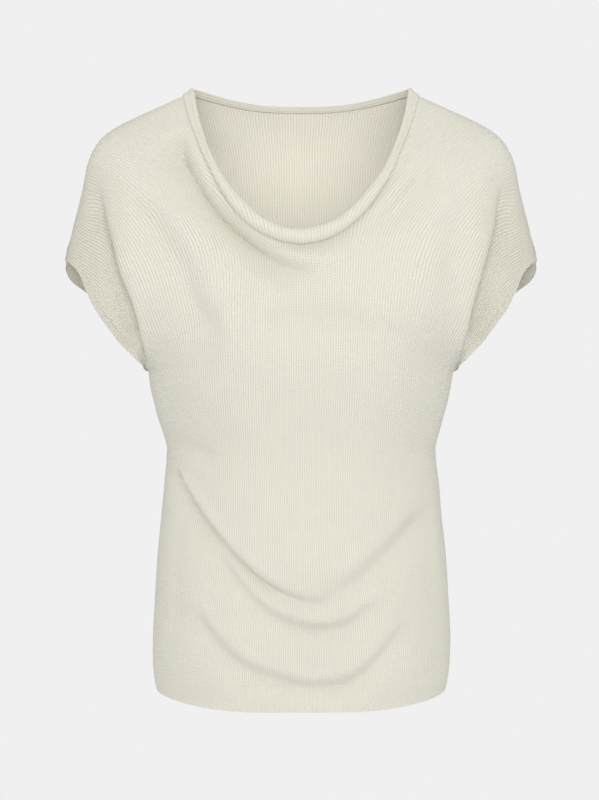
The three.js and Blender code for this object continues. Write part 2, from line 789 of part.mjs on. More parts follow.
// Ribbed band at the hem, on one side of the garment: ribs raised over a plain inside.
function hemRib(facing, surface) {
  const top = -(RIB_TOP_DROP + SEAM_GAP);
  const place = (share, z) => sideX.left(z) + (sideX.right(z) - sideX.left(z)) * share;
  const shares = roundShares(HEM_SAMPLES);
  const line = shares.map((share) => surface(place(share, -LENGTH), -LENGTH));
  const lengths = [0];
  for (let i = 1; i < line.length; i += 1) {
    lengths.push(lengths[i - 1] + line[i].distanceTo(line[i - 1]));
  }
  const girth = lengths[HEM_SAMPLES];
  const ribs = Math.round(girth / HEM_RIB_PITCH);
  const shareAt = smoothTable(lengths, shares);
  const wall = new ClothWall();
  const columns = 2 * ribs;
  const index = [top, -LENGTH].map((z) =>
    Array.from({ length: columns + 1 }, (_, i) => {
      const share = shareAt((girth * i) / columns);
      const point = surface(place(share, z), z);
      const square = ["z"];
      if (i === 0 || i === columns) {
        point.y = (facing * SEAM_GAP) / 2;
        square.push("y");
      }
      return wall.add(point, { square, raised: i % 2 ? HEM_RIB_RELIEF : 0 });
    }),
  );
  for (let i = 0; i < columns; i += 1) {
    const corners = [index[0][i], index[1][i], index[1][i + 1], index[0][i + 1]];
    if (facing > 0) corners.reverse();
    wall.cell(...corners);
  }
  return wall.geometry();
}

const frontSurface = panelSurface(-1, FRONT_DEPTH, FRONT_FOLDS);
const backSurface = panelSurface(1, BACK_DEPTH, BACK_FOLDS);
const front = panelWall(-1, frontSurface, FRONT_CELLS, {
  neck: FRONT_NECK,
  yoke: FRONT_YOKE,
  cuff: FRONT_CUFF,
});
const back = panelWall(1, backSurface, BACK_CELLS, {
  neck: BACK_NECK,
  yoke: BACK_YOKE,
  cuff: BACK_CUFF,
});
addNeckRoll(front.wall, front.neckRow, FRONT_CELLS);

const top = new THREE.Group();
top.add(
  named("front", front.wall.geometry(), FRONT_COLOUR),
  named("back", back.wall.geometry(), BACK_COLOUR),
  named("back_neck_band", backBand(back.wall, back.neckRow), BAND_COLOUR),
  named("hem_rib_front", hemRib(-1, frontSurface), RIB_COLOUR),
  named("hem_rib_back", hemRib(1, backSurface), RIB_COLOUR),
);

export default top;
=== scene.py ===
"""Cowl neck top in fine knit: the finish of every piece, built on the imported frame.

Lengths are in millimetres until a mesh is written, which is in metres. The front faces -Y.
"out" is a distance from the middle, "drop" a distance below the shoulder line.
"""

import math
from dataclasses import dataclass

import bpy
import numpy as np
from bpy.props import FloatProperty, FloatVectorProperty, PointerProperty
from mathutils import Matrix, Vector


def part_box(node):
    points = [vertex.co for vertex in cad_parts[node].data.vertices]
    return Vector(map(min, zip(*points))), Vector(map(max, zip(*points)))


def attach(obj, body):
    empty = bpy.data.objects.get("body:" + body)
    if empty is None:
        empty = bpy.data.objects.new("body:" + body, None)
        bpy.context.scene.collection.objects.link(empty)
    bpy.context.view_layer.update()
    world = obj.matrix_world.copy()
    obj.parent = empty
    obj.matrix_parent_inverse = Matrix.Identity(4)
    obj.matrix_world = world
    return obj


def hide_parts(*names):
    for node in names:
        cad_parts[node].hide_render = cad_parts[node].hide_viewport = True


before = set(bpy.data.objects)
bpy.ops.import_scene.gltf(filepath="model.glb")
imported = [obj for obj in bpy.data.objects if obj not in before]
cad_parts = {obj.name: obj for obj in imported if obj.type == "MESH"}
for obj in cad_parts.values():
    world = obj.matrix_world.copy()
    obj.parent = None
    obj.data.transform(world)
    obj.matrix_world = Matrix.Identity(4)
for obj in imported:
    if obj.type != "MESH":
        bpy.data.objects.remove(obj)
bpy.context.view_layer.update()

bl_info = {
    "name": "Cowl neck top",
    "version": (1, 0, 0),
    "blender": (4, 5, 0),
    "location": "3D View > Sidebar > Knitwear",
    "description": "Builds a draped fine-knit cowl neck top, piece by piece",
    "category": "Object",
}

MM = 0.001

# Drops that the frame gives.
LENGTH = -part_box("hem_rib_front")[0].z / MM
RIB_TOP_DROP = -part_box("front")[0].z / MM
UNDERARM_DROP = 297.0

# Depth or width over which the cloth rounds off beside a seam.
SHOULDER_TURN = 82.0
CUFF_TURN_IN = 70.0
SIDE_TURN = 108.0
SEAM_REACH = 0.12  # a place nearer to a seam than this counts as on it

# Turn of the neck roll about its own middle, from its foot below to its edge inside.
ROLL_START = math.radians(236)
ROLL_END = math.radians(-150)
ROLL_TIGHTENS = 0.25  # share of its radius that the roll loses by its end
TIGHTENS_FROM = 0.55  # share of the turn from which it does
ROLL_UNEVEN = 0.04  # share by which its radius comes and goes
ROLL_WAVE = 11  # length along it over which that turns by one radian

# Groove along the roll, where the turned edge meets the cloth below it.
GROOVE_ANGLE = math.radians(95)
GROOVE_WIDTH = math.radians(22)

# Near the shoulder the neck finish stands up off the cloth by this angle, between these shares of
# the width of the neck, counted from the middle.
NECK_LIFT = math.radians(13)
LIFT_FROM = 0.36
LIFT_TO = 0.5

NECK_CROWDING = 1.3  # how closely the columns stand towards the shoulder
BOW_FADE = 2.0  # how fast the bow of a panel's side edges dies out towards the middle
YOKE_SHARE = 0.34  # share of the shoulder seam that the yoke takes up

# Shares of a panel's depth between which its folds fade in, away from the seams.
FOLDS_FROM = 0.15
FOLDS_TO = 0.75

NECK_CALM = 10.0  # distance from a neck edge within which folds die out
SLOPE_REACH = 2.0  # distance over which a slope is measured
SEAM_SAMPLES = 60
FOLD_SAMPLES = 24

# Where a leaning fold hangs over most, and how widely, as shares of its upper half-width.
LEAN_CENTRE = 0.6
LEAN_SPREAD = 0.9

# Two waves of hanging cloth: their heights, and the lengths over which they turn by one radian
# across and down. The narrow one is tilted by the last two.
WIDE_SLACK = 0.55
WIDE_ACROSS = 27
WIDE_DOWN = 41
NARROW_SLACK = 0.3
NARROW_ACROSS = 13
NARROW_DOWN = 19
NARROW_TILT_ACROSS = 53
NARROW_TILT_DOWN = 37

# Turned edge of a sleeve opening, and the groove beside it.
CUFF_TURN_WIDTH = 5.0
CUFF_TURN_RELIEF = 0.5
CUFF_TURN_SLOPE = 1.2
CUFF_GROOVE_DEPTH = 0.4
CUFF_GROOVE_WIDTH = 0.8
CUFF_GROOVE_PAST = 0.4

WALL = 1.6
BAND_HEIGHT = 8.0
BAND_THICKNESS = 2.6
BAND_SIDES = 14
BAND_ROUNDNESS = 0.6  # power of its outline: 1 is an ellipse, less is squarer
WALL_SHARP_EDGE = math.radians(50)
BAND_SHARP_EDGE = math.radians(60)

RIB_ROWS = 10
RIB_COLUMNS = 8  # for each rib
RIB_SAMPLES = 240
RIB_CREST = 0.7  # power of a rib's outline: less is rounder on top
RIB_PHASE = "rib_phase"

STITCH_STEPS = 160
STITCH_MARGIN = 0.08  # share of a sleeve opening left without stitches at either end
STITCH_OUT = "stitch_out"

# The flat knit: its UV map, where the middle of the map lies, and the effort spent on it.
KNIT_MAP = "knit"
KNIT_MAP_MIDDLE = np.array([0.5, 0.8])
KNIT_STEPS = 600
SHORTEST_EDGE = 0.2  # edges shorter than this pull on the flat knit no harder
TINY = 1e-12

# How coarse each unevenness of the knit is, in waves to a metre.
DRIFT = 30.0
PATCHES = 70.0
TREMBLE = 240.0
UNEVEN = 420.0
YARN_FUZZ = 1500.0
KNIT_FUZZ = 1800.0

# How far unevenness shifts the loops, in loops, and how sharply a column of them rounds off.
DRIFT_SHIFT = 0.8
WALE_TREMBLE = 0.6
COURSE_TREMBLE = 0.7
LOOP_SLANT = 0.5
COLUMN_EDGE = 2.2

# What the height of the knit is made of, and how much its contrast differs between patches.
COLUMN_SHARE = 0.58
LOOP_SHARE = 0.44
UNEVEN_SHARE = 0.3
FUZZ_SHARE = 0.2
PATCH_SWING = 1.6
PATCH_MEAN = 0.85
MEAN_LIGHT = 0.62  # mean height of the knit, at which its tone stays while contrast changes

# Distances from the middle and heights, in metres, over which the knit is drawn smooth across the
# shoulders and opens on the sleeves, where it is also painted darker as painted shade, and the shares by
# which it does.
SHOULDER_OUT = (0.1, 0.14)
SHOULDER_HEIGHT = (-0.15, -0.06)
SHOULDER_CALM = 0.8
SLEEVE_OUT = (0.17, 0.21)
SLEEVE_HEIGHT = (-0.07, -0.14)
SLEEVE_OPEN_AND_SHADE = 0.3

# The stage, in metres.
FLOOR_DROP = 1.15
FLOOR_RADIUS = 4.9
FLOOR_THICKNESS = 0.02
TENT_RADIUS = 7.0
AMBIENT_COLOUR = (0.97, 1.0, 0.97)
LIGHT_COLOUR = (1.0, 0.985, 0.96)
CAMERA_DROP = 0.1
CAMERA_ASIDE = -0.0016
CAMERA_PITCH = math.radians(5.9)
CAMERA_SENSOR = 36

# Soft lights: name, setting with its power, place, size, and the place that it is turned to.
LIGHTS = (
    ("front light", "front_light", (0.1, -2.7, 0.15), (2.2, 1.8), (0, 0, -0.3)),
    ("top light", "top_light", (0, -0.7, 2.2), (2.4, 2.4), (0, 0, -0.3)),
    ("left light", "side_light", (-2.3, -0.8, -1.0), (2.0, 1.6), (0, 0, -0.5)),
    ("right light", "side_light", (2.3, -0.8, -1.0), (2.0, 1.6), (0, 0, -0.5)),
    ("neck fill", "neck_fill", (0, 0, -0.12), (0.2, 0.16), (0, 1, -0.12)),
)

FRONT_CELLS = {"yoke": 36, "neck": 150, "arm": 44, "sleeve": 30, "side": 128, "roll": 30}
BACK_CELLS = {"yoke": 22, "neck": 116, "arm": 36, "sleeve": 26, "side": 104}


def table(columns, *rows):
    """Rows of numbers, as one array for each named column."""
    return dict(zip(columns.split(), np.array(rows, float).T))


# Shoulder seam, from the neck to the tip of the sleeve.
SHOULDER_SEAM = table(
    "out drop",
    (119, 10), (155, 26), (189, 42), (206, 54), (216, 67.5),
    (222, 83), (227, 108), (235, 139), (241, 163), (244.5, 180),
)

# Sleeve opening, from its tip to the underarm.
FRONT_CUFF = table(
    "out drop",
    (244.5, 180), (234, 187), (227, 196), (222, 207), (211, 228), (198.5, 247), (186.5, 265),
    (170, 282), (163, 289), (159.5, UNDERARM_DROP),
)
BACK_CUFF = table(
    "out drop",
    (244.5, 180), (248, 190), (244.5, 202), (233, 213), (222, 223), (211, 236), (199, 254),
    (186, 271), (171, 285), (159.5, UNDERARM_DROP),
)

# Side seam, from the underarm to the hem, on the two sides as the front is looked at.
SIDE_SEAM = table(
    "drop left right",
    (UNDERARM_DROP, 159.5, 159.5),
    (315, 157.5, 156.5),
    (330, 154, 153.5),
    (345, 150.5, 149.5),
    (360, 145.5, 145.5),
    (376, 141, 141.5),
    (391, 141.5, 142),
    (418, 144, 145.5),
    (448, 147, 148),
    (492, 151.5, 153),
    (536, 154.5, 156),
    (581, 157, 158.5),
    (610, 157, 157.5),
    (625, 155.5, 155.5),
    (LENGTH, 153.5, 153.5),
)

# Foot of the rolled front neck edge, from the shoulder to the middle, the height of the roll, how
# round it is (1 is as thick as high) and the depth of the groove along it.
FRONT_NECK = table(
    "out drop roll round groove",
    (119, 10, 13.5, 0.22, 1.3),
    (113.5, 30, 11, 0.35, 1.6),
    (105, 54, 9, 0.5, 1.7),
    (94, 79, 9, 0.75, 1.2),
    (81, 103, 10.5, 1, 0.3),
    (65, 125, 13, 1, 0),
    (44, 144, 14.5, 1, 0),
    (22, 155.5, 15, 1, 0),
    (0, 159.5, 15, 1, 0),
)

# Foot of the back neck band, from the shoulder to the middle.
BACK_NECK = table("out drop", (119, 10), (93, 16.5), (64, 22.5), (35, 26), (0, 27))

# Line where each panel's yoke ends, and the line where the sleeve grows out of the body, both from
# the corner that they share on the shoulder seam.
FRONT_YOKE = table("out drop", (163, 95), (134, 145), (100, 183), (57, 208), (0, 217))
BACK_YOKE = table("out drop", (142, 62), (84, 78), (0, 86))
ARMHOLE = table("out drop", (198, 105), (195, 165), (178, 230), (159.5, UNDERARM_DROP))

# How far each panel stands away from the side seams, at five distances from the middle.
DEPTH_OUTS = np.array([0.0, 60, 120, 180, 230])
FRONT_DEPTH = table(
    "drop at0 at60 at120 at180 at230",
    (0, 8, 12, 20, 26, 30),
    (50, 40, 41, 44, 46, 44),
    (90, 68, 68, 64, 57, 50),
    (130, 93, 92, 82, 63, 52),
    (165, 108, 106, 94, 67, 50),
    (210, 118, 117, 102, 68, 47),
    (250, 122, 121, 106, 68, 46),
    (300, 118, 116, 103, 70, 46),
    (376, 108, 105, 94, 72, 50),
    (440, 113, 108, 95, 76, 56),
    (490, 121, 113, 97, 78, 60),
    (560, 117, 112, 100, 80, 64),
    (LENGTH, 113, 110, 101, 82, 66),
)
BACK_DEPTH = table(
    "drop at0 at60 at120 at180 at230",
    (0, 38, 37, 34, 30, 30),
    (30, 62, 58, 50, 44, 40),
    (70, 86, 80, 66, 54, 48),
    (120, 103, 97, 81, 62, 50),
    (180, 109, 105, 91, 66, 50),
    (240, 103, 101, 91, 66, 48),
    (300, 91, 90, 85, 66, 46),
    (376, 77, 77, 74, 62, 48),
    (440, 86, 85, 79, 66, 52),
    (520, 100, 98, 89, 72, 58),
    (LENGTH, 106, 104, 95, 78, 62),
)


@dataclass
class Fold:
    """A fold along a path of (x, drop) points, its sizes in millimetres.

    "depth" is how far its floor sinks, "above" and "below" are its half-widths on the side nearer
    the neck and on the other, and it fades over the shares "start" and "end" of the path. A lower
    "crisp" makes a sharper floor. "lip" raises the cloth above it, and "lean" hangs that over it.
    """

    name: str
    path: tuple
    depth: float
    above: float
    below: float
    start: float
    end: float
    crisp: float = 2.0
    lip: float = 0.0
    lean: float = 0.0


FRONT_FOLDS = [
    Fold(
        "ridge below the neck roll",
        ((-66, 146), (-40, 164), (-2, 176), (36, 172), (66, 154), (92, 128)),
        -3.5, 10, 10, 0.3, 0.3,
    ),
    Fold(
        "second cowl fold, left",
        ((-127, 45), (-112, 75), (-95, 106), (-73, 132), (-46, 155), (-16, 177), (8, 187), (30, 187)),
        20, 9, 26, 0.12, 0.3, crisp=1.6, lip=4.5, lean=5.5,
    ),
    Fold(
        "crease beside the neck, right",
        ((115, 62), (102, 75), (93, 87), (84, 97), (74, 108)),
        5, 5, 9, 0.4, 0.3, crisp=1.5, lip=1.5,
    ),
    Fold(
        "second cowl fold, right",
        ((135, 70), (125, 83), (116, 95), (107, 110), (94, 124), (69, 149), (59, 157)),
        9, 12, 20, 0.3, 0.4, crisp=1.8, lip=3.0, lean=2.0,
    ),
    Fold(
        "drag from the left shoulder",
        ((-186, 93), (-157, 139), (-127, 182), (-119, 202), (-112, 222), (-90, 248), (-69, 254)),
        12, 22, 32, 0.3, 0.2, crisp=1.8, lip=2.0,
    ),
    Fold(
        "drag from the right shoulder",
        ((186, 96), (165, 140), (156, 180), (150, 216), (146, 246)),
        5.5, 16, 20, 0.4, 0.4,
    ),
    Fold(
        "hollow under the bust",
        ((-69, 254), (-9, 238), (32, 240), (58, 245), (83, 251), (121, 241)),
        7.0, 18, 26, 0.3, 0.3,
    ),
    Fold(
        "left armpit crease",
        ((-210, 99), (-206, 127), (-196, 160), (-188, 189), (-177, 216), (-169, 243), (-162, 290)),
        20, 8, 16, 0.25, 0.2, crisp=1.5, lip=3.5, lean=7.0,
    ),
    Fold(
        "right armpit crease",
        ((209, 97), (203, 131), (195, 164), (185, 197), (177, 226), (170, 262), (162, 290)),
        20, 8, 16, 0.25, 0.2, crisp=1.5, lip=3.5, lean=7.0,
    ),
    Fold(
        "crease of the left flank",
        ((-136, 366), (-115, 371), (-99, 374), (-80, 384)),
        3.0, 9, 11, 0.6, 0.4,
    ),
    Fold(
        "main drape, falling from the left of the waist",
        ((-133, 394), (-115, 420), (-102, 437), (-87, 454), (-66, 475), (-22, 508), (16, 521), (50, 518)),
        13, 8, 24, 0.06, 0.45, crisp=1.5, lip=4.0, lean=5.0,
    ),
    Fold(
        "main drape, falling from the right of the waist",
        ((-4, 524), (24, 519), (50, 507), (74, 490), (98, 470), (119, 451), (140, 430)),
        6.5, 16, 24, 0.4, 0.2, lip=2.5,
    ),
    Fold(
        "second drape",
        ((-103, 455), (-87, 483), (-72, 503), (-38, 534), (3, 551), (43, 549), (80, 526), (95, 516)),
        8.0, 12, 24, 0.22, 0.22, crisp=1.8, lip=3.0,
    ),
    Fold(
        "third drape, above the rib",
        ((-118, 522), (-104, 549), (-68, 584), (-26, 603), (18, 611), (54, 604), (87, 576), (117, 540)),
        6.0, 12, 16, 0.15, 0.15, crisp=1.8, lip=2.5,
    ),
    Fold(
        "end of the third drape",
        ((10, 611), (42, 611), (76, 606)),
        1.5, 9, 9, 0.5, 0.5,
    ),
    Fold("line down the left side", ((-127, 426), (-129, 500), (-131, 590)), 1.4, 5, 7, 0.3, 0.3),
    Fold("line down the right side", ((132, 396), (134, 470), (136, 550)), 1.4, 5, 7, 0.3, 0.3),
]
BACK_FOLDS = [
    Fold(
        "left shoulder blade drag",
        ((-196, 98), (-160, 150), (-118, 196), (-78, 222)),
        5, 16, 22, 0.35, 0.4, crisp=1.7,
    ),
    Fold(
        "right shoulder blade drag",
        ((201, 112), (168, 172), (140, 214), (104, 250)),
        4, 16, 22, 0.35, 0.4, crisp=1.7,
    ),
    Fold(
        "left armpit crease, behind",
        ((-210, 118), (-194, 190), (-172, 254), (-159, 296)),
        7, 11, 22, 0.4, 0.15, crisp=1.6, lip=1.5,
    ),
    Fold(
        "right armpit crease, behind",
        ((212, 122), (196, 188), (174, 250), (159, 296)),
        7, 11, 22, 0.4, 0.15, crisp=1.6, lip=1.5,
    ),
    Fold(
        "hollow of the back waist",
        ((-112, 352), (-40, 382), (38, 378), (108, 346)),
        5, 24, 16, 0.35, 0.35,
    ),
    Fold(
        "slack above the back hem",
        ((-110, 452), (-52, 500), (14, 512), (72, 486)),
        4, 14, 22, 0.35, 0.4, crisp=1.7, lip=1.0,
    ),
]

# How far the wales lean away from upright, in degrees, at five distances from the middle.
LEAN_OUTS = np.array([0.0, 60, 110, 170, 230])
FRONT_LEAN = table(
    "drop at0 at60 at110 at170 at230",
    (0, 0, 20, 36, 46, 62),
    (120, 0, 20, 34, 38, 62),
    (200, 0, 12, 24, 30, 60),
    (300, 0, 6, 12, 24, 45),
    (420, 0, 6, 12, 12, 12),
    (500, 0, 6, 8, 4, 4),
    (560, 0, 0, 0, 0, 0),
)
BACK_LEAN = table(
    "drop at0 at60 at110 at170 at230",
    (0, 0, 4, 12, 30, 55),
    (120, 0, 3, 10, 28, 55),
    (300, 0, 0, 4, 12, 40),
    (420, 0, 0, 0, 0, 0),
)


# Smooth curves through the rows of a table.


def column(array, like):
    """An array over knots, shaped to multiply values that may have a second axis."""
    return array.reshape((-1,) + (1,) * (like.ndim - 1))


def slopes_at(knots, values):
    """Slope of a smooth curve at each knot."""
    places = np.arange(len(knots))
    before = np.maximum(places - 1, 0)
    after = np.minimum(places + 1, len(knots) - 1)
    return (values[after] - values[before]) / column(knots[after] - knots[before], values)


def between(knots, values, slopes, at):
    """Values of a smooth curve between its knots. It stays level past either end."""
    at = np.clip(at, knots[0], knots[-1])
    i = np.clip(np.searchsorted(knots, at) - 1, 0, len(knots) - 2)
    pick = (i,) if values.ndim == 1 else (i, np.arange(len(at)))
    following = (pick[0] + 1, *pick[1:])
    span = knots[i + 1] - knots[i]
    t = (at - knots[i]) / span
    rise = t * t * (3 - 2 * t)
    leave = t * (1 - t) ** 2 * span
    arrive = t * t * (t - 1) * span
    level = values[pick] * (1 - rise) + values[following] * rise
    return level + slopes[pick] * leave + slopes[following] * arrive


def smooth_table(knots, values):
    slopes = slopes_at(knots, values)
    return lambda at: between(knots, values, slopes, np.asarray(at, float))


def smooth_field(rows, outs):
    """Value of a table of drops and outs at places (x, z), level across the middle."""
    keys = [key for key in rows if key != "drop"]
    columns = [smooth_table(rows["drop"], rows[key]) for key in keys]

    def field(x, z):
        values = np.array([down(-z) for down in columns])
        slopes = slopes_at(outs, values)
        slopes[0] = 0
        return between(outs, values, slopes, np.abs(x))

    return field


def smooth_path(points):
    """Smooth path through (x, z) points, as a function of the share of its length."""
    points = np.array(points, float)
    lengths = np.concatenate([[0], np.cumsum(np.hypot(*np.diff(points, axis=0).T))])
    along_x = smooth_table(lengths, points[:, 0])
    along_z = smooth_table(lengths, points[:, 1])
    return lambda share: np.stack(
        [along_x(share * lengths[-1]), along_z(share * lengths[-1])], axis=-1
    )


def places_of(rows, corner=None):
    """Places of the rows of a table, on the +X side, after a corner where one is given."""
    places = np.stack([rows["out"], -rows["drop"]], axis=-1)
    return places if corner is None else np.concatenate([[corner], places])


def smooth_step(start, end, at):
    t = np.clip((at - start) / (end - start), 0, 1)
    return t * t * (3 - 2 * t)


def nearest_on(chain, x, z):
    """Nearest place on a chain of points: its distance, its share of the length, and the side."""
    best = np.full(x.shape, np.inf)
    share = np.zeros(x.shape)
    side = np.ones(x.shape)
    pieces = len(chain) - 1
    for i in range(pieces):
        (ax, az), (bx, bz) = chain[i], chain[i + 1]
        run_x, run_z = bx - ax, bz - az
        along = ((x - ax) * run_x + (z - az) * run_z) / (run_x**2 + run_z**2)
        t = np.clip(along, 0, 1)
        off_x = x - ax - run_x * t
        off_z = z - az - run_z * t
        distance = np.hypot(off_x, off_z)
        closer = distance < best
        best = np.where(closer, distance, best)
        share = np.where(closer, (i + t) / pieces, share)
        side = np.where(closer, np.where(run_x * off_z - run_z * off_x >= 0, 1.0, -1.0), side)
    return best, share, side


def round_off(distance, turn):
    """Quarter circle: nothing at the seam, full depth once the given distance away from it."""
    share = np.minimum(distance / turn, 1)
    return np.sqrt(share * (2 - share))


shoulder_path = smooth_path(places_of(SHOULDER_SEAM))
shoulder_chain = shoulder_path(np.linspace(0, 1, SEAM_SAMPLES + 1))
left_out = smooth_table(SIDE_SEAM["drop"], SIDE_SEAM["left"])
right_out = smooth_table(SIDE_SEAM["drop"], SIDE_SEAM["right"])


def side_chain(facing_x, top_drop, foot_drop, count):
    """Places down a side seam: facing_x is -1 for the left one and 1 for the right one."""
    drops = np.linspace(top_drop, foot_drop, count + 1)
    outs = left_out(drops) if facing_x < 0 else right_out(drops)
    return np.stack([facing_x * outs, -drops], axis=-1)


left_chain = side_chain(-1, UNDERARM_DROP, LENGTH, SEAM_SAMPLES)
right_chain = side_chain(1, UNDERARM_DROP, LENGTH, SEAM_SAMPLES)


def seam_share(x, z):
    """Share of the full depth at a place: nothing on the shoulder and side seams."""
    from_shoulder, along, _ = nearest_on(shoulder_chain, np.abs(x), z)
    from_left, _, _ = nearest_on(left_chain, x, z)
    from_right, _, _ = nearest_on(right_chain, x, z)
    from_side = np.where(x < 0, from_left, from_right)
    turn = SHOULDER_TURN + (CUFF_TURN_IN - SHOULDER_TURN) * along
    from_shoulder = np.maximum(from_shoulder - SEAM_REACH, 0)
    from_side = np.maximum(from_side - SEAM_REACH, 0)
    return round_off(from_shoulder, turn) * round_off(from_side, SIDE_TURN)


def fold_shift(folds, x, z):
    """What the folds do at each place: height outwards, and a sideways shift in x and in z."""
    height = np.zeros(x.shape)
    shift = np.zeros((2,) + x.shape)
    for fold in folds:
        path = smooth_path([(px, -drop) for px, drop in fold.path])
        chain = path(np.linspace(0, 1, FOLD_SAMPLES + 1))
        # The neck lies on the left of a path that runs towards +X, and on the right of others.
        neck_side = 1 if chain[-1, 0] >= chain[0, 0] else -1
        distance, share, side = nearest_on(chain, x, z)
        above = side == neck_side
        reach = distance / np.where(above, fold.above, fold.below)
        fade = smooth_step(0, fold.start, share) * smooth_step(0, fold.end, 1 - share)
        height -= fold.depth * fade * np.exp(-(reach**fold.crisp))
        height += fold.lip * fade * np.where(above, reach**2 * np.exp(1 - reach**2), 0)
        if fold.lean:
            # Unit step across the path, away from the neck, at the nearest place on it.
            near = path(share)
            ahead = path(np.minimum(share + 0.01, 1)) - path(np.maximum(share - 0.01, 0))
            ahead /= np.linalg.norm(ahead, axis=-1, keepdims=True)
            across = np.stack([ahead[:, 1], -ahead[:, 0]]) * neck_side
            signed = (x - near[:, 0]) * across[0] + (z - near[:, 1]) * across[1]
            centred = (signed / fold.above + LEAN_CENTRE) / LEAN_SPREAD
            shift += across * fold.lean * fade * np.exp(-(centred**2))
    return height, shift


def slack(x, z):
    """Shallow unevenness of hanging cloth."""
    wide = np.sin(x / WIDE_ACROSS + 1.3) * np.sin(z / WIDE_DOWN + 0.4)
    tilted = np.sin(x / NARROW_ACROSS + z / NARROW_TILT_DOWN + 2.1)
    narrow = tilted * np.sin(z / NARROW_DOWN - x / NARROW_TILT_ACROSS)
    return WIDE_SLACK * wide + NARROW_SLACK * narrow


def panel_surface(facing, depth_rows, folds, neck_rows):
    """One side of the top: facing is -1 for the front and 1 for the back."""
    depth = smooth_field(depth_rows, DEPTH_OUTS)
    neck = smooth_path(places_of(neck_rows))(even_shares(SEAM_SAMPLES))

    def plain(x, z):
        return depth(x, z) * seam_share(x, z)

    def surface(places):
        x, z = places[:, 0], places[:, 1]
        slope_x = (plain(x + SLOPE_REACH, z) - plain(x - SLOPE_REACH, z)) / (2 * SLOPE_REACH)
        slope_z = (plain(x, z + SLOPE_REACH) - plain(x, z - SLOPE_REACH)) / (2 * SLOPE_REACH)
        normal = np.stack([-slope_x, np.full(x.shape, facing), -slope_z], axis=-1)
        normal /= np.linalg.norm(normal, axis=-1, keepdims=True)
        from_neck, _, _ = nearest_on(neck, np.abs(x), z)
        calm = smooth_step(0, NECK_CALM, from_neck)
        shown = smooth_step(FOLDS_FROM, FOLDS_TO, seam_share(x, z)) * calm
        height, shift = fold_shift(folds, x, z)
        height = (height + slack(x, z)) * shown
        sideways = shift * shown
        moved = np.stack([x + sideways[0], facing * plain(x, z), z + sideways[1]], axis=-1)
        return moved + normal * height[:, None]

    return surface


# Grids of places, and the cells between them.


def even_shares(count):
    return np.linspace(0, 1, count + 1)


def round_shares(count):
    return (1 - np.cos(np.pi * even_shares(count))) / 2


def flipped(places):
    return places * (-1, 1)


def whole_edge(half_path, cells):
    """Both halves of a U-shaped edge, from the left shoulder to the right one."""
    from_middle = np.abs(2 * even_shares(cells) - 1)
    places = half_path((1 - from_middle) ** NECK_CROWDING)
    places[:, 0] *= np.sign(even_shares(cells) - 0.5)
    return places


def blended_grid(top, bottom, left, right, column_share, row_share, fade=1.0):
    """Grid of places between four edges, its rows running from the left edge to the right one."""
    over = column_share[None, :, None]
    down = row_share[:, None, None]
    straight = (1 - down) * top[None] + down * bottom[None]
    left_bow = left[:, None] - straight[:, :1]
    right_bow = right[:, None] - straight[:, -1:]
    return straight + left_bow * (1 - over) ** fade + right_bow * over**fade


def panel_grids(cells, neck_rows, yoke_rows, cuff_rows):
    """A panel's places in four grids that share edges: yoke, body, left and right sleeve."""
    shoulder = flipped(shoulder_path(YOKE_SHARE * even_shares(cells["yoke"])))
    corner = shoulder[-1]
    neck = whole_edge(smooth_path(places_of(neck_rows)), cells["neck"])
    chest = whole_edge(smooth_path(places_of(yoke_rows, flipped(corner))), cells["neck"])
    yoke = blended_grid(
        neck, chest, shoulder, flipped(shoulder),
        even_shares(cells["neck"]), even_shares(cells["yoke"]),
    )

    arm_rows = round_shares(cells["arm"])
    armhole = flipped(smooth_path(places_of(ARMHOLE, flipped(corner)))(arm_rows))
    left_side = side_chain(-1, UNDERARM_DROP, RIB_TOP_DROP, cells["side"])
    right_side = side_chain(1, UNDERARM_DROP, RIB_TOP_DROP, cells["side"])
    left = np.concatenate([armhole[:-1], left_side])
    right = np.concatenate([flipped(armhole)[:-1], right_side])
    column_share = round_shares(cells["neck"])
    rib = left[-1] + (right[-1] - left[-1]) * column_share[:, None]
    row_share = (left[:, 1] - corner[1]) / (left[-1, 1] - corner[1])
    body = blended_grid(chest, rib, left, right, column_share, row_share, BOW_FADE)

    cuff = flipped(smooth_path(places_of(cuff_rows))(arm_rows))
    sleeve_shares = even_shares(cells["sleeve"])
    overarm = flipped(shoulder_path(1 - (1 - YOKE_SHARE) * sleeve_shares))
    underarm = np.repeat(left_side[:1], len(overarm), axis=0)
    left_sleeve = blended_grid(overarm, underarm, cuff, armhole, sleeve_shares, arm_rows)
    right_sleeve = flipped(left_sleeve)[:, ::-1]
    return [yoke, body, left_sleeve, right_sleeve], cuff


def merged(grids):
    """The places of several grids with shared ones merged, and each grid as their numbers."""
    flat = np.concatenate([grid.reshape(-1, 2) for grid in grids])
    keys = np.round(flat, 3) + 0.0
    _, first, numbers = np.unique(keys, axis=0, return_index=True, return_inverse=True)
    numbers = numbers.reshape(-1)
    sizes = np.cumsum([0] + [grid.shape[0] * grid.shape[1] for grid in grids])
    indexed = [
        numbers[start:end].reshape(grid.shape[:2])
        for grid, start, end in zip(grids, sizes[:-1], sizes[1:])
    ]
    return flat[first], indexed


def cells_of(indexed, facing):
    """Quads between the points of a grid, facing out of the top."""
    corners = (indexed[:-1, :-1], indexed[1:, :-1], indexed[1:, 1:], indexed[:-1, 1:])
    quads = np.stack([corner.reshape(-1) for corner in corners], axis=-1)
    return quads[:, ::-1] if facing > 0 else quads


def unit(vectors):
    return vectors / np.maximum(np.linalg.norm(vectors, axis=-1, keepdims=True), 1e-9)


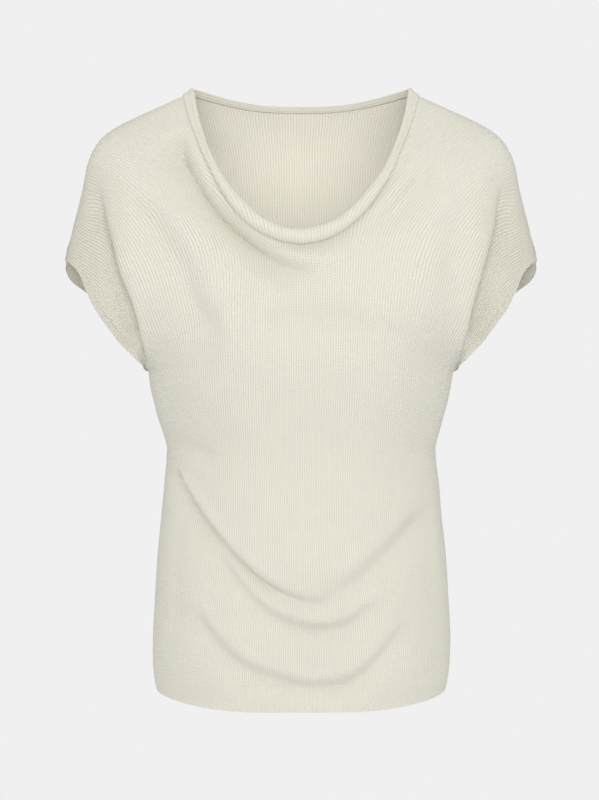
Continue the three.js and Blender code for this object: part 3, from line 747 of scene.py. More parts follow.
def point_normals(points, quads):
    """Normals at the points of a sheet of quads."""
    first = points[quads[:, 2]] - points[quads[:, 0]]
    second = points[quads[:, 3]] - points[quads[:, 1]]
    faces = np.cross(first, second)
    normals = np.zeros(points.shape)
    for corner in range(4):
        np.add.at(normals, quads[:, corner], faces)
    return unit(normals)


def knit_coordinates(points, quads, wales, normals):
    """Place of each point in the flat knit, (across the wales, along them), in millimetres.

    The flat knit is the one whose edges best match the cloth's, turned so that the wales run the
    given way: the least squares answer, found by conjugate gradients.
    """
    pairs = np.concatenate([quads[:, [k, (k + 1) % 4]] for k in range(4)])
    pairs = np.unique(np.sort(pairs[pairs[:, 0] != pairs[:, 1]], axis=1), axis=0)
    first, second = pairs.T
    courses = np.cross(wales, normals)
    run = points[second] - points[first]
    wanted = np.stack(
        [
            np.einsum("ij,ij->i", run, (courses[first] + courses[second]) / 2),
            np.einsum("ij,ij->i", run, (wales[first] + wales[second]) / 2),
        ],
        axis=-1,
    )
    weight = 1 / np.maximum(np.linalg.norm(run, axis=-1), SHORTEST_EDGE)
    count = len(points)

    def gather(values):
        return np.stack(
            [
                np.bincount(second, values[:, k], count) - np.bincount(first, values[:, k], count)
                for k in range(2)
            ],
            axis=-1,
        )

    def spread(flat):
        return gather((flat[second] - flat[first]) * weight[:, None])

    ease = 1 / (np.bincount(first, weight, count) + np.bincount(second, weight, count))[:, None]
    flat = points[:, [0, 2]].copy()
    rest = gather(wanted * weight[:, None]) - spread(flat)
    eased = rest * ease
    step = eased.copy()
    energy = (rest * eased).sum(axis=0)
    for _ in range(KNIT_STEPS):
        pushed = spread(step)
        rate = energy / np.maximum((step * pushed).sum(axis=0), TINY)
        flat += rate * step
        rest -= rate * pushed
        eased = rest * ease
        following = (rest * eased).sum(axis=0)
        step = eased + following / np.maximum(energy, TINY) * step
        energy = following
    return flat - flat[np.argmin(np.abs(points[:, 0]) - points[:, 2])] * (1, 0)


# Sheets of cloth as Blender meshes.


def new_mesh_object(name, points, faces, flat=None):
    """Mesh object from points in millimetres, with an optional flat place in the knit for each."""
    mesh = bpy.data.meshes.new(name)
    mesh.from_pydata([tuple(point) for point in points * MM], [], faces)
    mesh.validate()
    mesh.polygons.foreach_set("use_smooth", [True] * len(mesh.polygons))
    if flat is not None:
        layer = mesh.uv_layers.new(name=KNIT_MAP)
        corners = np.empty(len(mesh.loops), np.int32)
        mesh.loops.foreach_get("vertex_index", corners)
        layer.uv.foreach_set("vector", (flat * MM + KNIT_MAP_MIDDLE)[corners].ravel())
    mesh.update()
    piece = bpy.data.objects.new(name, mesh)
    bpy.context.scene.collection.objects.link(piece)
    return piece


def without_repeats(quads):
    """Faces from quads, some of which have three different corners."""
    return [
        [corner for k, corner in enumerate(quad) if corner != quad[k - 1]]
        for quad in quads.tolist()
    ]


def keep_result(piece, modifier):
    """Turns what a modifier makes of a piece into its own mesh, and removes the modifier."""
    depsgraph = bpy.context.evaluated_depsgraph_get()
    mesh = bpy.data.meshes.new_from_object(piece.evaluated_get(depsgraph))
    piece.modifiers.remove(modifier)
    old = piece.data
    piece.data = mesh
    bpy.data.meshes.remove(old)
    mesh.name = piece.name
    return mesh


def thicken(piece, thickness):
    """Gives a sheet its wall, inwards from the side that shows."""
    wall = piece.modifiers.new("wall", "SOLIDIFY")
    wall.thickness = thickness * MM
    wall.offset = -1
    wall.use_rim = True
    wall.use_even_offset = False
    keep_result(piece, wall).set_sharp_from_angle(angle=WALL_SHARP_EDGE)


def wale_direction(x, z, normals, lean_rows):
    """Unit steps along the wales, up the cloth."""
    lean = np.radians(smooth_field(lean_rows, LEAN_OUTS)(x, z))
    upwards = np.stack([np.sign(x) * np.sin(lean), np.zeros(x.shape), np.cos(lean)], axis=-1)
    upwards -= normals * (upwards * normals).sum(axis=-1, keepdims=True)
    return unit(upwards)


def edge_frames(points, normals, row):
    """Frames along a neck edge: along it, up the cloth, out of it, and the lifted pair of those."""
    edge = points[row]
    padded = np.concatenate([edge[:1], edge, edge[-1:]])
    along = padded[2:] - padded[:-2]
    along[[0, -1]] *= (0, 1, 0)
    along = unit(along)
    outwards = normals[row]
    upwards = unit(np.cross(outwards, along))
    upwards = np.where(upwards[:, 2:] < 0, -upwards, upwards)
    from_middle = np.abs(edge[:, 0]) / np.linalg.norm(edge[0] - edge[-1])
    lift = (NECK_LIFT * smooth_step(LIFT_FROM, LIFT_TO, from_middle))[:, None]
    rise = upwards * np.cos(lift) + outwards * np.sin(lift)
    face = outwards * np.cos(lift) - upwards * np.sin(lift)
    return {"edge": edge, "along": along, "up": upwards, "out": outwards, "rise": rise, "face": face}


class Panel:
    """A front or back panel: its points, quads, wale directions and edges."""

    def __init__(self, facing, cells, neck_rows, yoke_rows, cuff_rows, depth_rows, folds, lean_rows):
        self.facing = facing
        self.surface = panel_surface(facing, depth_rows, folds, neck_rows)
        grids, self.cuff = panel_grids(cells, neck_rows, yoke_rows, cuff_rows)
        places, indexed = merged(grids)
        self.points = self.surface(places)
        self.raise_cuffs(places)
        self.quads = np.concatenate([cells_of(grid, facing) for grid in indexed])
        self.neck_row = indexed[0][0]
        self.normals = point_normals(self.points, self.quads)
        self.wales = wale_direction(places[:, 0], places[:, 1], self.normals, lean_rows)

    def raise_cuffs(self, places):
        """The turned edge of each sleeve opening stands out from the cloth."""
        distance, _, _ = nearest_on(self.cuff, -np.abs(places[:, 0]), places[:, 1])
        near = 1 - smooth_step(CUFF_TURN_WIDTH - CUFF_TURN_SLOPE, CUFF_TURN_WIDTH, distance)
        past = distance - CUFF_TURN_WIDTH - CUFF_GROOVE_PAST
        groove = CUFF_GROOVE_DEPTH * np.exp(-((past / CUFF_GROOVE_WIDTH) ** 2))
        self.points[:, 1] += self.facing * (CUFF_TURN_RELIEF * near - groove)

    def add_roll(self, cells):
        """The neck edge rolls outwards over itself and back down inside."""
        frames = edge_frames(self.points, self.normals, self.neck_row)
        start_wales = self.wales[self.neck_row]
        lean_up = (start_wales * frames["up"]).sum(axis=-1, keepdims=True)
        lean_along = (start_wales * frames["along"]).sum(axis=-1, keepdims=True)
        roll, roundness, groove = (
            smooth_table(FRONT_NECK["drop"], FRONT_NECK[key])(-frames["edge"][:, 2])[:, None]
            for key in ("roll", "round", "groove")
        )
        wave = np.sin(frames["edge"][:, :1] / ROLL_WAVE + 0.7)
        radius = roll / 2 * (1 + ROLL_UNEVEN * wave)
        lower = self.neck_row
        for k in range(1, cells + 1):
            angle = ROLL_START + (ROLL_END - ROLL_START) * k / cells
            tighter = 1 - ROLL_TIGHTENS * smooth_step(TIGHTENS_FROM, 1, k / cells)
            up = radius * (math.cos(angle) * tighter - math.cos(ROLL_START))
            out = radius * roundness * (math.sin(angle) * tighter - math.sin(ROLL_START))
            out -= groove * math.exp(-(((angle - GROOVE_ANGLE) / GROOVE_WIDTH) ** 2))
            points = frames["edge"] + frames["rise"] * up + frames["face"] * out
            ahead = frames["rise"] * math.sin(angle) - frames["face"] * math.cos(angle)
            outwards = frames["rise"] * math.cos(angle) + frames["face"] * math.sin(angle)
            first = len(self.points)
            upper = first + np.arange(len(lower))
            quads = np.stack([upper[:-1], lower[:-1], lower[1:], upper[1:]], axis=-1)
            wales = unit(ahead * lean_up + frames["along"] * lean_along)
            self.points = np.concatenate([self.points, points])
            self.normals = np.concatenate([self.normals, outwards])
            self.wales = np.concatenate([self.wales, wales])
            self.quads = np.concatenate([self.quads, quads])
            lower = upper

    def build(self, name, thickness):
        normals = point_normals(self.points, self.quads)
        wales = unit(self.wales - normals * (self.wales * normals).sum(axis=-1, keepdims=True))
        flat = knit_coordinates(self.points, self.quads, wales, normals)
        piece = new_mesh_object(name, self.points, without_repeats(self.quads), flat)
        thicken(piece, thickness)
        return piece


def front_panel():
    panel = Panel(
        -1, FRONT_CELLS, FRONT_NECK, FRONT_YOKE, FRONT_CUFF, FRONT_DEPTH, FRONT_FOLDS, FRONT_LEAN
    )
    panel.add_roll(FRONT_CELLS["roll"])
    return panel


def back_panel():
    return Panel(1, BACK_CELLS, BACK_NECK, BACK_YOKE, BACK_CUFF, BACK_DEPTH, BACK_FOLDS, BACK_LEAN)


def back_band(panel):
    """Rounded strip that stands on the back neck edge, with its flat places round and along it."""
    frames = edge_frames(panel.points, panel.normals, panel.neck_row)
    half = BAND_THICKNESS / 2
    turns = np.linspace(-0.5 * np.pi, 1.5 * np.pi, BAND_SIDES, endpoint=False)
    middle = -WALL / 2
    rings = []
    for turn in turns:
        up = BAND_HEIGHT / 2 + (BAND_HEIGHT / 2) * math.sin(turn)
        out = middle + half * np.sign(math.cos(turn)) * abs(math.cos(turn)) ** BAND_ROUNDNESS
        rings.append(frames["edge"] + frames["rise"] * up + frames["face"] * out)
    points = np.stack(rings, axis=1)
    columns = len(points)
    along = np.linalg.norm(np.diff(frames["edge"], axis=0), axis=-1)
    lengths = np.concatenate([[0], np.cumsum(along)])
    girth = np.linspace(0, 2 * (BAND_HEIGHT + BAND_THICKNESS), BAND_SIDES, endpoint=False)
    flat = np.stack(np.broadcast_arrays(lengths[:, None], girth[None]), axis=-1)
    index = np.arange(columns * BAND_SIDES).reshape(columns, BAND_SIDES)
    index = np.concatenate([index, index[:, :1]], axis=1)
    quads = cells_of(index, -1)
    ends = [index[0, -2::-1].tolist(), index[-1, :-1].tolist()]
    return points.reshape(-1, 3), quads.tolist() + ends, flat.reshape(-1, 2)


def rib_band(facing, surface, pitch):
    """Points, faces, flat places and rib count of the hem's rib on one side, before ribs rise."""
    drops = np.linspace(RIB_TOP_DROP, LENGTH, RIB_ROWS + 1)
    shares = round_shares(RIB_SAMPLES)

    def places(share, drop):
        left, right = -left_out(drop), right_out(drop)
        return np.stack([left + (right - left) * share, np.full(share.shape, -drop)], axis=-1)

    line = surface(places(shares, LENGTH))
    lengths = np.concatenate([[0], np.cumsum(np.linalg.norm(np.diff(line, axis=0), axis=-1))])
    ribs = round(lengths[-1] / pitch)
    around = np.linspace(0, lengths[-1], ribs * RIB_COLUMNS + 1)
    share_at = smooth_table(lengths, shares)(around)
    points = np.stack([surface(places(share_at, drop)) for drop in drops])
    index = np.arange(points.shape[0] * points.shape[1]).reshape(points.shape[:2])
    quads = cells_of(index, facing)
    flat = np.stack([np.tile(around, len(drops)), np.repeat(-drops, len(around))], axis=-1)
    phase = np.tile(np.linspace(0, ribs, len(around)), len(drops))
    return points.reshape(-1, 3), quads, flat, phase


# Paths of the seam stitches, as (points, steps out of the cloth).


def seam_path(chain):
    """A path over a seam between the front and the back."""
    run = np.gradient(chain, axis=0)
    outwards = unit(np.stack([run[:, 1], np.zeros(len(chain)), -run[:, 0]], axis=-1))
    outwards *= np.where((outwards[:, :1] * chain[:, :1]) < 0, -1, 1)
    points = np.stack([chain[:, 0], np.zeros(len(chain)), chain[:, 1]], axis=-1)
    return points, outwards


def cloth_path(surface, facing, places):
    """A path over the face of a panel."""
    over = surface(places + (SLOPE_REACH, 0)) - surface(places - (SLOPE_REACH, 0))
    up = surface(places + (0, SLOPE_REACH)) - surface(places - (0, SLOPE_REACH))
    outwards = unit(np.cross(over, up))
    return surface(places), np.where(outwards[:, 1:2] * facing < 0, -outwards, outwards)


def stitch_paths():
    paths = []
    for side in (-1, 1):
        paths.append(seam_path(side_chain(side, UNDERARM_DROP, RIB_TOP_DROP, STITCH_STEPS)))
    panels = (
        (-1, panel_surface(-1, FRONT_DEPTH, FRONT_FOLDS, FRONT_NECK), FRONT_CUFF),
        (1, panel_surface(1, BACK_DEPTH, BACK_FOLDS, BACK_NECK), BACK_CUFF),
    )
    for facing, surface, cuff_rows in panels:
        shares = STITCH_MARGIN + (1 - 2 * STITCH_MARGIN) * even_shares(STITCH_STEPS)
        cuff = smooth_path(places_of(cuff_rows))(shares)
        run = unit(np.gradient(cuff, axis=0))
        inner = cuff + np.stack([run[:, 1], -run[:, 0]], axis=-1) * CUFF_TURN_WIDTH
        for side in (-1, 1):
            paths.append(cloth_path(surface, facing, inner * (side, 1)))
        left, right = -left_out(RIB_TOP_DROP), right_out(RIB_TOP_DROP)
        across = left + (right - left) * round_shares(STITCH_STEPS)[1:-1]
        hem = np.stack([across, np.full(across.shape, -RIB_TOP_DROP)], axis=-1)
        paths.append(cloth_path(surface, facing, hem))
    return paths


def path_object(name, paths):
    """Chains of edges whose points know the way out of the cloth."""
    points = np.concatenate([points for points, _ in paths])
    outwards = np.concatenate([outwards for _, outwards in paths])
    edges = []
    first = 0
    for chain, _ in paths:
        edges += [(first + k, first + k + 1) for k in range(len(chain) - 1)]
        first += len(chain)
    mesh = bpy.data.meshes.new(name)
    mesh.from_pydata([tuple(point) for point in points * MM], edges, [])
    attribute = mesh.attributes.new(STITCH_OUT, "FLOAT_VECTOR", "POINT")
    attribute.data.foreach_set("vector", outwards.astype(np.float32).ravel())
    piece = bpy.data.objects.new(name, mesh)
    bpy.context.scene.collection.objects.link(piece)
    return piece


# Geometry Nodes for what repeats.


def feed(tree, socket, value):
    """Links a socket of a node tree to another socket, or gives it a value."""
    if isinstance(value, bpy.types.NodeSocket):
        tree.links.new(value, socket)
    else:
        socket.default_value = value


class Recipe:
    """A Geometry Nodes tree with named inputs, and the modifier inputs that they become."""

    def __init__(self, name, **inputs):
        self.tree = bpy.data.node_groups.new(name, "GeometryNodeTree")
        face = self.tree.interface
        face.new_socket("Geometry", in_out="INPUT", socket_type="NodeSocketGeometry")
        face.new_socket("Geometry", in_out="OUTPUT", socket_type="NodeSocketGeometry")
        self.identifiers = {}
        for label, kind in inputs.items():
            socket = face.new_socket(label, in_out="INPUT", socket_type="NodeSocket" + kind)
            self.identifiers[label] = socket.identifier
        self.entry = self.tree.nodes.new("NodeGroupInput")
        self.exit = self.tree.nodes.new("NodeGroupOutput")

    def node(self, kind, settings=None, **inputs):
        """Adds a node: its settings first, then the values or links of its sockets."""
        node = self.tree.nodes.new(kind)
        for key, value in (settings or {}).items():
            setattr(node, key, value)
        for key, value in inputs.items():
            socket = next(s for s in node.inputs if s.name.replace(" ", "_") == key and s.enabled)
            feed(self.tree, socket, value)
        return node

    def maths(self, operation, first, second=0.0):
        node = self.tree.nodes.new("ShaderNodeMath")
        node.operation = operation
        for socket, value in zip(node.inputs, (first, second)):
            feed(self.tree, socket, value)
        return node.outputs[0]

    def finish(self, geometry):
        """Ends the tree: instances made real, then the material set."""
        real = self.node("GeometryNodeRealizeInstances", Geometry=geometry)
        dressed = self.node(
            "GeometryNodeSetMaterial",
            Geometry=real.outputs[0],
            Material=self.entry.outputs["Material"],
        )
        self.tree.links.new(dressed.outputs[0], self.exit.inputs[0])

    def apply(self, piece, **values):
        """Turns a piece into a plain mesh made by the tree."""
        modifier = piece.modifiers.new(self.tree.name, "NODES")
        modifier.node_group = self.tree
        for label, value in values.items():
            modifier[self.identifiers[label]] = value
        keep_result(piece, modifier)


def rib_recipe():
    """Raises rounded ribs on a band whose points know their place counted in ribs."""
    recipe = Recipe("raised_ribs", Relief="Float", Material="Material")
    phase = recipe.node("GeometryNodeInputNamedAttribute", {"data_type": "FLOAT"}, Name=RIB_PHASE)
    turned = recipe.maths("MULTIPLY", phase.outputs[0], math.pi)
    wave = recipe.maths("ABSOLUTE", recipe.maths("SINE", turned))
    crest = recipe.maths("POWER", wave, RIB_CREST)
    height = recipe.maths("MULTIPLY", crest, recipe.entry.outputs["Relief"])
    normal = recipe.node("GeometryNodeInputNormal")
    offset = recipe.node(
        "ShaderNodeVectorMath", {"operation": "SCALE"}, Vector=normal.outputs[0], Scale=height
    )
    raised = recipe.node(
        "GeometryNodeSetPosition",
        Geometry=recipe.entry.outputs["Geometry"],
        Offset=offset.outputs[0],
    )
    recipe.finish(raised.outputs[0])
    return recipe


def stitch_recipe():
    """Lays rounded stitches end to end along paths whose points know the way out of the cloth."""
    recipe = Recipe(
        "laid_stitches", Pitch="Float", Length="Float", Width="Float", Slant="Float",
        Material="Material",
    )
    curve = recipe.node("GeometryNodeMeshToCurve", Mesh=recipe.entry.outputs["Geometry"])
    spaced = recipe.node(
        "GeometryNodeResampleCurve",
        {"mode": "LENGTH"},
        Curve=curve.outputs[0],
        Length=recipe.entry.outputs["Pitch"],
    )
    stitch = recipe.node("GeometryNodeMeshUVSphere", Segments=8, Rings=5, Radius=0.5)
    tangent = recipe.node("GeometryNodeInputTangent")
    outwards = recipe.node(
        "GeometryNodeInputNamedAttribute", {"data_type": "FLOAT_VECTOR"}, Name=STITCH_OUT
    )
    lying = recipe.node(
        "FunctionNodeAlignRotationToVector", {"axis": "X"}, Vector=tangent.outputs[0]
    )
    standing = recipe.node(
        "FunctionNodeAlignRotationToVector",
        {"axis": "Z", "pivot_axis": "X"},
        Rotation=lying.outputs[0],
        Vector=outwards.outputs[0],
    )
    slant = recipe.node("ShaderNodeCombineXYZ", Z=recipe.entry.outputs["Slant"])
    slanted = recipe.node(
        "FunctionNodeRotateRotation",
        {"rotation_space": "LOCAL"},
        Rotation=standing.outputs[0],
        Rotate_By=slant.outputs[0],
    )
    size = recipe.node(
        "ShaderNodeCombineXYZ",
        X=recipe.entry.outputs["Length"],
        Y=recipe.entry.outputs["Width"],
        Z=recipe.entry.outputs["Width"],
    )
    laid = recipe.node(
        "GeometryNodeInstanceOnPoints",
        Points=spaced.outputs[0],
        Instance=stitch.outputs[0],
        Rotation=slanted.outputs[0],
        Scale=size.outputs[0],
    )
    recipe.finish(laid.outputs[0])
    return recipe


# Finishes.


def summing(operation, swapped=False):
    """A method that adds one maths node, with the wire as its second input where swapped."""

    def method(self, *others):
        return self.finish.maths(operation, *((*others, self) if swapped else (self, *others)))

    return method


class Wire:
    """A number on a shader socket: sums on it add the nodes that work them out."""

    def __init__(self, finish, socket):
        self.finish = finish
        self.socket = socket

    __add__ = summing("ADD")
    __radd__ = summing("ADD", swapped=True)
    __sub__ = summing("SUBTRACT")
    __rsub__ = summing("SUBTRACT", swapped=True)
    __mul__ = summing("MULTIPLY")
    __rmul__ = summing("MULTIPLY", swapped=True)
    __truediv__ = summing("DIVIDE")
    __rtruediv__ = summing("DIVIDE", swapped=True)
    __pow__ = summing("POWER")
    __abs__ = summing("ABSOLUTE")


class Finish:
    """A material whose nodes are added by one method."""

    def __init__(self, name):
        self.material = bpy.data.materials.new(name)
        self.material.use_nodes = True
        self.tree = self.material.node_tree
        self.shader = self.tree.nodes["Principled BSDF"]

    def node(self, kind, settings=None, inputs=None):
        """Adds a node: its settings first, then the values or links of its sockets."""
        node = self.tree.nodes.new(kind)
        for key, value in (settings or {}).items():
            setattr(node, key, value)
        for key, value in (inputs or {}).items():
            self.connect(node.inputs[key], value)
        return node

    def connect(self, socket, value):
        feed(self.tree, socket, value.socket if isinstance(value, Wire) else value)

    def maths(self, operation, *values):
        inputs = dict(enumerate(values))
        return Wire(self, self.node("ShaderNodeMath", {"operation": operation}, inputs).outputs[0])

    def noise(self, vector, scale, detail=2.0):
        """Smooth unevenness from -0.5 to 0.5."""
        node = self.node(
            "ShaderNodeTexNoise", None, {"Vector": vector, "Scale": scale, "Detail": detail}
        )
        return Wire(self, node.outputs["Fac"]) - 0.5

    def ramp(self, value, low, high):
        """Rises from 0 to 1 while the value goes from low to high."""
        node = self.node("ShaderNodeMapRange", None, {0: value, 1: low, 2: high})
        return Wire(self, node.outputs[0])

    def mix(self, factor, first, second):
        node = self.node(
            "ShaderNodeMix", {"data_type": "RGBA"}, {0: factor, 6: first, 7: second}
        )
        return node.outputs[2]

    def set(self, **inputs):
        """Values or links of the shader's own sockets."""
        for key, value in inputs.items():
            self.connect(self.shader.inputs[key.replace("_", " ")], value)


def opaque(colour):
    """A colour with full opacity."""
    return (*colour, 1.0)


def knit_finish(name, knit, turned=False, tone=1.0, contrast=1.0):
    """Stocking stitch: columns of V-shaped loops, clearer in some patches than in others, with painted
    shade deep between the loops and over the sleeves.
    """
    finish = Finish(name)
    flat = finish.node("ShaderNodeUVMap", {"uv_map": KNIT_MAP}).outputs[0]
    split = finish.node("ShaderNodeSeparateXYZ", None, {0: flat})
    across, along = (1, 0) if turned else (0, 1)
    x = Wire(finish, split.outputs[across])
    y = Wire(finish, split.outputs[along])
    drift = finish.noise(flat, DRIFT, 1.0)
    tremble = finish.noise(flat, TREMBLE, 1.0)
    wale = x / knit.wale_pitch + drift * DRIFT_SHIFT + tremble * WALE_TREMBLE
    course = y / knit.course_pitch + drift * DRIFT_SHIFT + tremble * COURSE_TREMBLE
    aside = abs(finish.maths("FRACT", wale) - 0.5) * 2.0
    column = 1.0 - aside**COLUMN_EDGE
    loop = finish.maths("COSINE", (course - aside * LOOP_SLANT) * (2 * math.pi)) * 0.5 + 0.5
    calm, opened_and_shaded = tension_and_sleeve_shade(finish)
    patch = finish.noise(flat, PATCHES) * PATCH_SWING + PATCH_MEAN
    clear = patch * (1.0 - calm + opened_and_shaded) * contrast
    uneven = finish.noise(flat, UNEVEN, 1.0)
    height = column * COLUMN_SHARE + loop * LOOP_SHARE + uneven * UNEVEN_SHARE
    # Share of the pale yarn colour: painted shade deep between the loops, and painted shade that darkens
    # the sleeves.
    lit = (height - MEAN_LIGHT) * clear + (MEAN_LIGHT - opened_and_shaded)
    pale = tuple(channel * tone for channel in knit.colour)
    gap_shade = tuple(channel * tone for channel in knit.gap_shade_colour)
    fuzz = finish.noise(flat, KNIT_FUZZ)
    bump = finish.node(
        "ShaderNodeBump",
        None,
        {"Strength": 1.0, "Distance": knit.stitch_relief, "Height": height + fuzz * FUZZ_SHARE},
    )
    finish.set(
        Base_Color=finish.mix(lit, opaque(gap_shade), opaque(pale)),
        Roughness=0.9,
        Normal=bump.outputs[0],
        Sheen_Weight=0.12,
        Sheen_Roughness=0.5,
        Specular_IOR_Level=0.25,
    )
    return finish.material


def tension_and_sleeve_shade(finish):
    """Shares by which the loops blur, drawn smooth over the shoulders, and open over the sleeves, where
    the knit is also painted darker as painted shade.
    """
    place = finish.node("ShaderNodeTexCoord").outputs["Object"]
    split = finish.node("ShaderNodeSeparateXYZ", None, {0: place})
    out = abs(Wire(finish, split.outputs[0]))
    height = Wire(finish, split.outputs[2])
    calm = finish.ramp(out, *SHOULDER_OUT) * finish.ramp(height, *SHOULDER_HEIGHT) * SHOULDER_CALM
    # Share by which the sleeves open and are painted darker, as painted shade.
    opened_and_shaded = finish.ramp(out, *SLEEVE_OUT) * finish.ramp(height, *SLEEVE_HEIGHT) * SLEEVE_OPEN_AND_SHADE
    return calm, opened_and_shaded


def thread_finish(name, knit):
    """Plain twisted yarn for seam stitches."""
    finish = Finish(name)
    place = finish.node("ShaderNodeTexCoord").outputs["Object"]
    fuzz = finish.noise(place, YARN_FUZZ)
    finish.set(
        Base_Color=finish.mix(fuzz + 0.6, opaque(knit.gap_shade_colour), opaque(knit.colour)),
        Roughness=0.9,
        Specular_IOR_Level=0.25,
    )
    return finish.material


# Settings that a user would change.


class KnitSettings(bpy.types.PropertyGroup):
    """Sizes and colours of the knit."""

    wale_pitch: FloatProperty(
        name="Wale pitch", description="Width of one column of loops",
        default=2.4 * MM, min=1 * MM, max=10 * MM, unit="LENGTH", precision=5,
    )
    course_pitch: FloatProperty(
        name="Course pitch", description="Height of one row of loops",
        default=2.05 * MM, min=1 * MM, max=10 * MM, unit="LENGTH", precision=5,
    )
    stitch_relief: FloatProperty(
        name="Stitch relief", description="How far the loops stand out",
        default=0.42 * MM, min=0, max=2 * MM, unit="LENGTH", precision=5,
    )
    wall: FloatProperty(
        name="Wall", description="Thickness of the knit, in millimetres",
        default=WALL, min=0.8, max=3.0,
    )
    colour: FloatVectorProperty(
        name="Yarn colour", description="Colour of the loops where light reaches them",
        subtype="COLOR", size=3, min=0, max=1, default=(0.835, 0.81, 0.738),
    )
    # Painted shade: the colour deep between the loops, where shade falls.
    gap_shade_colour: FloatVectorProperty(
        name="Gap shade colour", description="Painted shade deep between the loops",
        subtype="COLOR", size=3, min=0, max=1, default=(0.53, 0.505, 0.428),
    )


class RibSettings(bpy.types.PropertyGroup):
    """Sizes of the ribbed hem."""

    pitch: FloatProperty(
        name="Rib pitch", description="From one rib to the next, in millimetres",
        default=3.8, min=2.0, max=12.0,
    )
    relief: FloatProperty(
        name="Rib relief", description="How far a rib stands out",
        default=0.28 * MM, min=0, max=3 * MM, unit="LENGTH", precision=5,
    )


class StitchSettings(bpy.types.PropertyGroup):
    """Sizes of the stitches along the seams."""

    pitch: FloatProperty(
        name="Pitch", description="From one stitch to the next",
        default=2.6 * MM, min=1 * MM, max=10 * MM, unit="LENGTH", precision=5,
    )
    length: FloatProperty(
        name="Length", description="Length of one stitch",
        default=2.7 * MM, min=0.5 * MM, max=10 * MM, unit="LENGTH", precision=5,
    )
    width: FloatProperty(
        name="Width", description="Width of one stitch",
        default=0.8 * MM, min=0.2 * MM, max=4 * MM, unit="LENGTH", precision=5,
    )
    slant: FloatProperty(
        name="Slant", description="Turn of one stitch away from the run of its seam",
        default=math.radians(28), min=0, max=math.pi / 2, subtype="ANGLE",
    )


class StageSettings(bpy.types.PropertyGroup):
    """Light, backdrop and camera."""

    backdrop: FloatVectorProperty(
        name="Backdrop", description="Colour of the floor and the backdrop",
        subtype="COLOR", size=3, min=0, max=1, default=(0.871, 0.871, 0.871),
    )
    ambient: FloatProperty(
        name="Ambient", description="Strength of the light from all round",
        default=0.5, min=0, max=5,
    )
    front_light: FloatProperty(
        name="Front light", description="Power of the soft light in front, in watts",
        default=38.5, min=0, max=5000,
    )
    top_light: FloatProperty(
        name="Top light", description="Power of the soft light above, in watts",
        default=18.5, min=0, max=5000,
    )
    side_light: FloatProperty(
        name="Side lights", description="Power of the soft light at either side, in watts",
        default=17.0, min=0, max=5000,
    )
    neck_fill: FloatProperty(
        name="Neck fill", description="Power of the small light in the neck opening, in watts",
        default=0.078, min=0, max=50,
    )
    lens: FloatProperty(
        name="Focal length", description="Focal length of the camera, in millimetres",
        default=94.8, min=10, max=400,
    )
    distance: FloatProperty(
        name="Distance", description="From the camera to the top",
        default=2.2, min=0.5, max=20, unit="LENGTH",
    )


class TopSettings(bpy.types.PropertyGroup):
    """Everything that a user would change."""

    knit: PointerProperty(type=KnitSettings)
    rib: PointerProperty(type=RibSettings)
    stitch: PointerProperty(type=StitchSettings)
    stage: PointerProperty(type=StageSettings)


# Operators, one for each piece or group of like pieces.


def dress(piece, node, material):
    """Gives a finished piece its material and its place in the frame."""
    piece.data.materials.clear()
    piece.data.materials.append(material)
    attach(piece, "root")
    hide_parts(node)


def finished(name, make, *values, **settings):
    """A material that several pieces share, made once."""
    found = bpy.data.materials.get(name)
    return found or make(name, *values, **settings)


class KNITWEAR_OT_front(bpy.types.Operator):
    """Front panel with the fronts of both sleeves and the rolled neck edge"""

    bl_idname = "knitwear.front"
    bl_label = "Front"

    def execute(self, context):
        knit = context.scene.knitwear.knit
        piece = front_panel().build("front_knit", knit.wall)
        material = finished("fine_knit", knit_finish, knit)
        dress(piece, "front", material)
        return {"FINISHED"}


class KNITWEAR_OT_back(bpy.types.Operator):
    """Back panel with the backs of both sleeves, and the band on its neck edge"""

    bl_idname = "knitwear.back"
    bl_label = "Back and neck band"

    def execute(self, context):
        knit = context.scene.knitwear.knit
        panel = back_panel()
        band = new_mesh_object("back_neck_band_knit", *back_band(panel))
        band.data.set_sharp_from_angle(angle=BAND_SHARP_EDGE)
        turned = finished("band_knit", knit_finish, knit, turned=True, tone=0.97)
        dress(band, "back_neck_band", turned)
        piece = panel.build("back_knit", knit.wall)
        material = finished("fine_knit", knit_finish, knit)
        dress(piece, "back", material)
        return {"FINISHED"}


class KNITWEAR_OT_hem_ribs(bpy.types.Operator):
    """Ribbed band round the hem, in a front half and a back half"""

    bl_idname = "knitwear.hem_ribs"
    bl_label = "Hem ribs"

    def execute(self, context):
        settings = context.scene.knitwear
        recipe = rib_recipe()
        material = finished("rib_knit", knit_finish, settings.knit, contrast=0.45)
        sides = (
            ("front", -1, panel_surface(-1, FRONT_DEPTH, FRONT_FOLDS, FRONT_NECK)),
            ("back", 1, panel_surface(1, BACK_DEPTH, BACK_FOLDS, BACK_NECK)),
        )
        for side, facing, surface in sides:
            points, quads, flat, phase = rib_band(facing, surface, settings.rib.pitch)
            piece = new_mesh_object(f"hem_rib_{side}_knit", points, quads.tolist(), flat)
            attribute = piece.data.attributes.new(RIB_PHASE, "FLOAT", "POINT")
            attribute.data.foreach_set("value", phase.astype(np.float32))
            piece.data.materials.append(material)
            recipe.apply(piece, Relief=settings.rib.relief, Material=material)
            thicken(piece, settings.knit.wall)
            dress(piece, f"hem_rib_{side}", material)
        return {"FINISHED"}


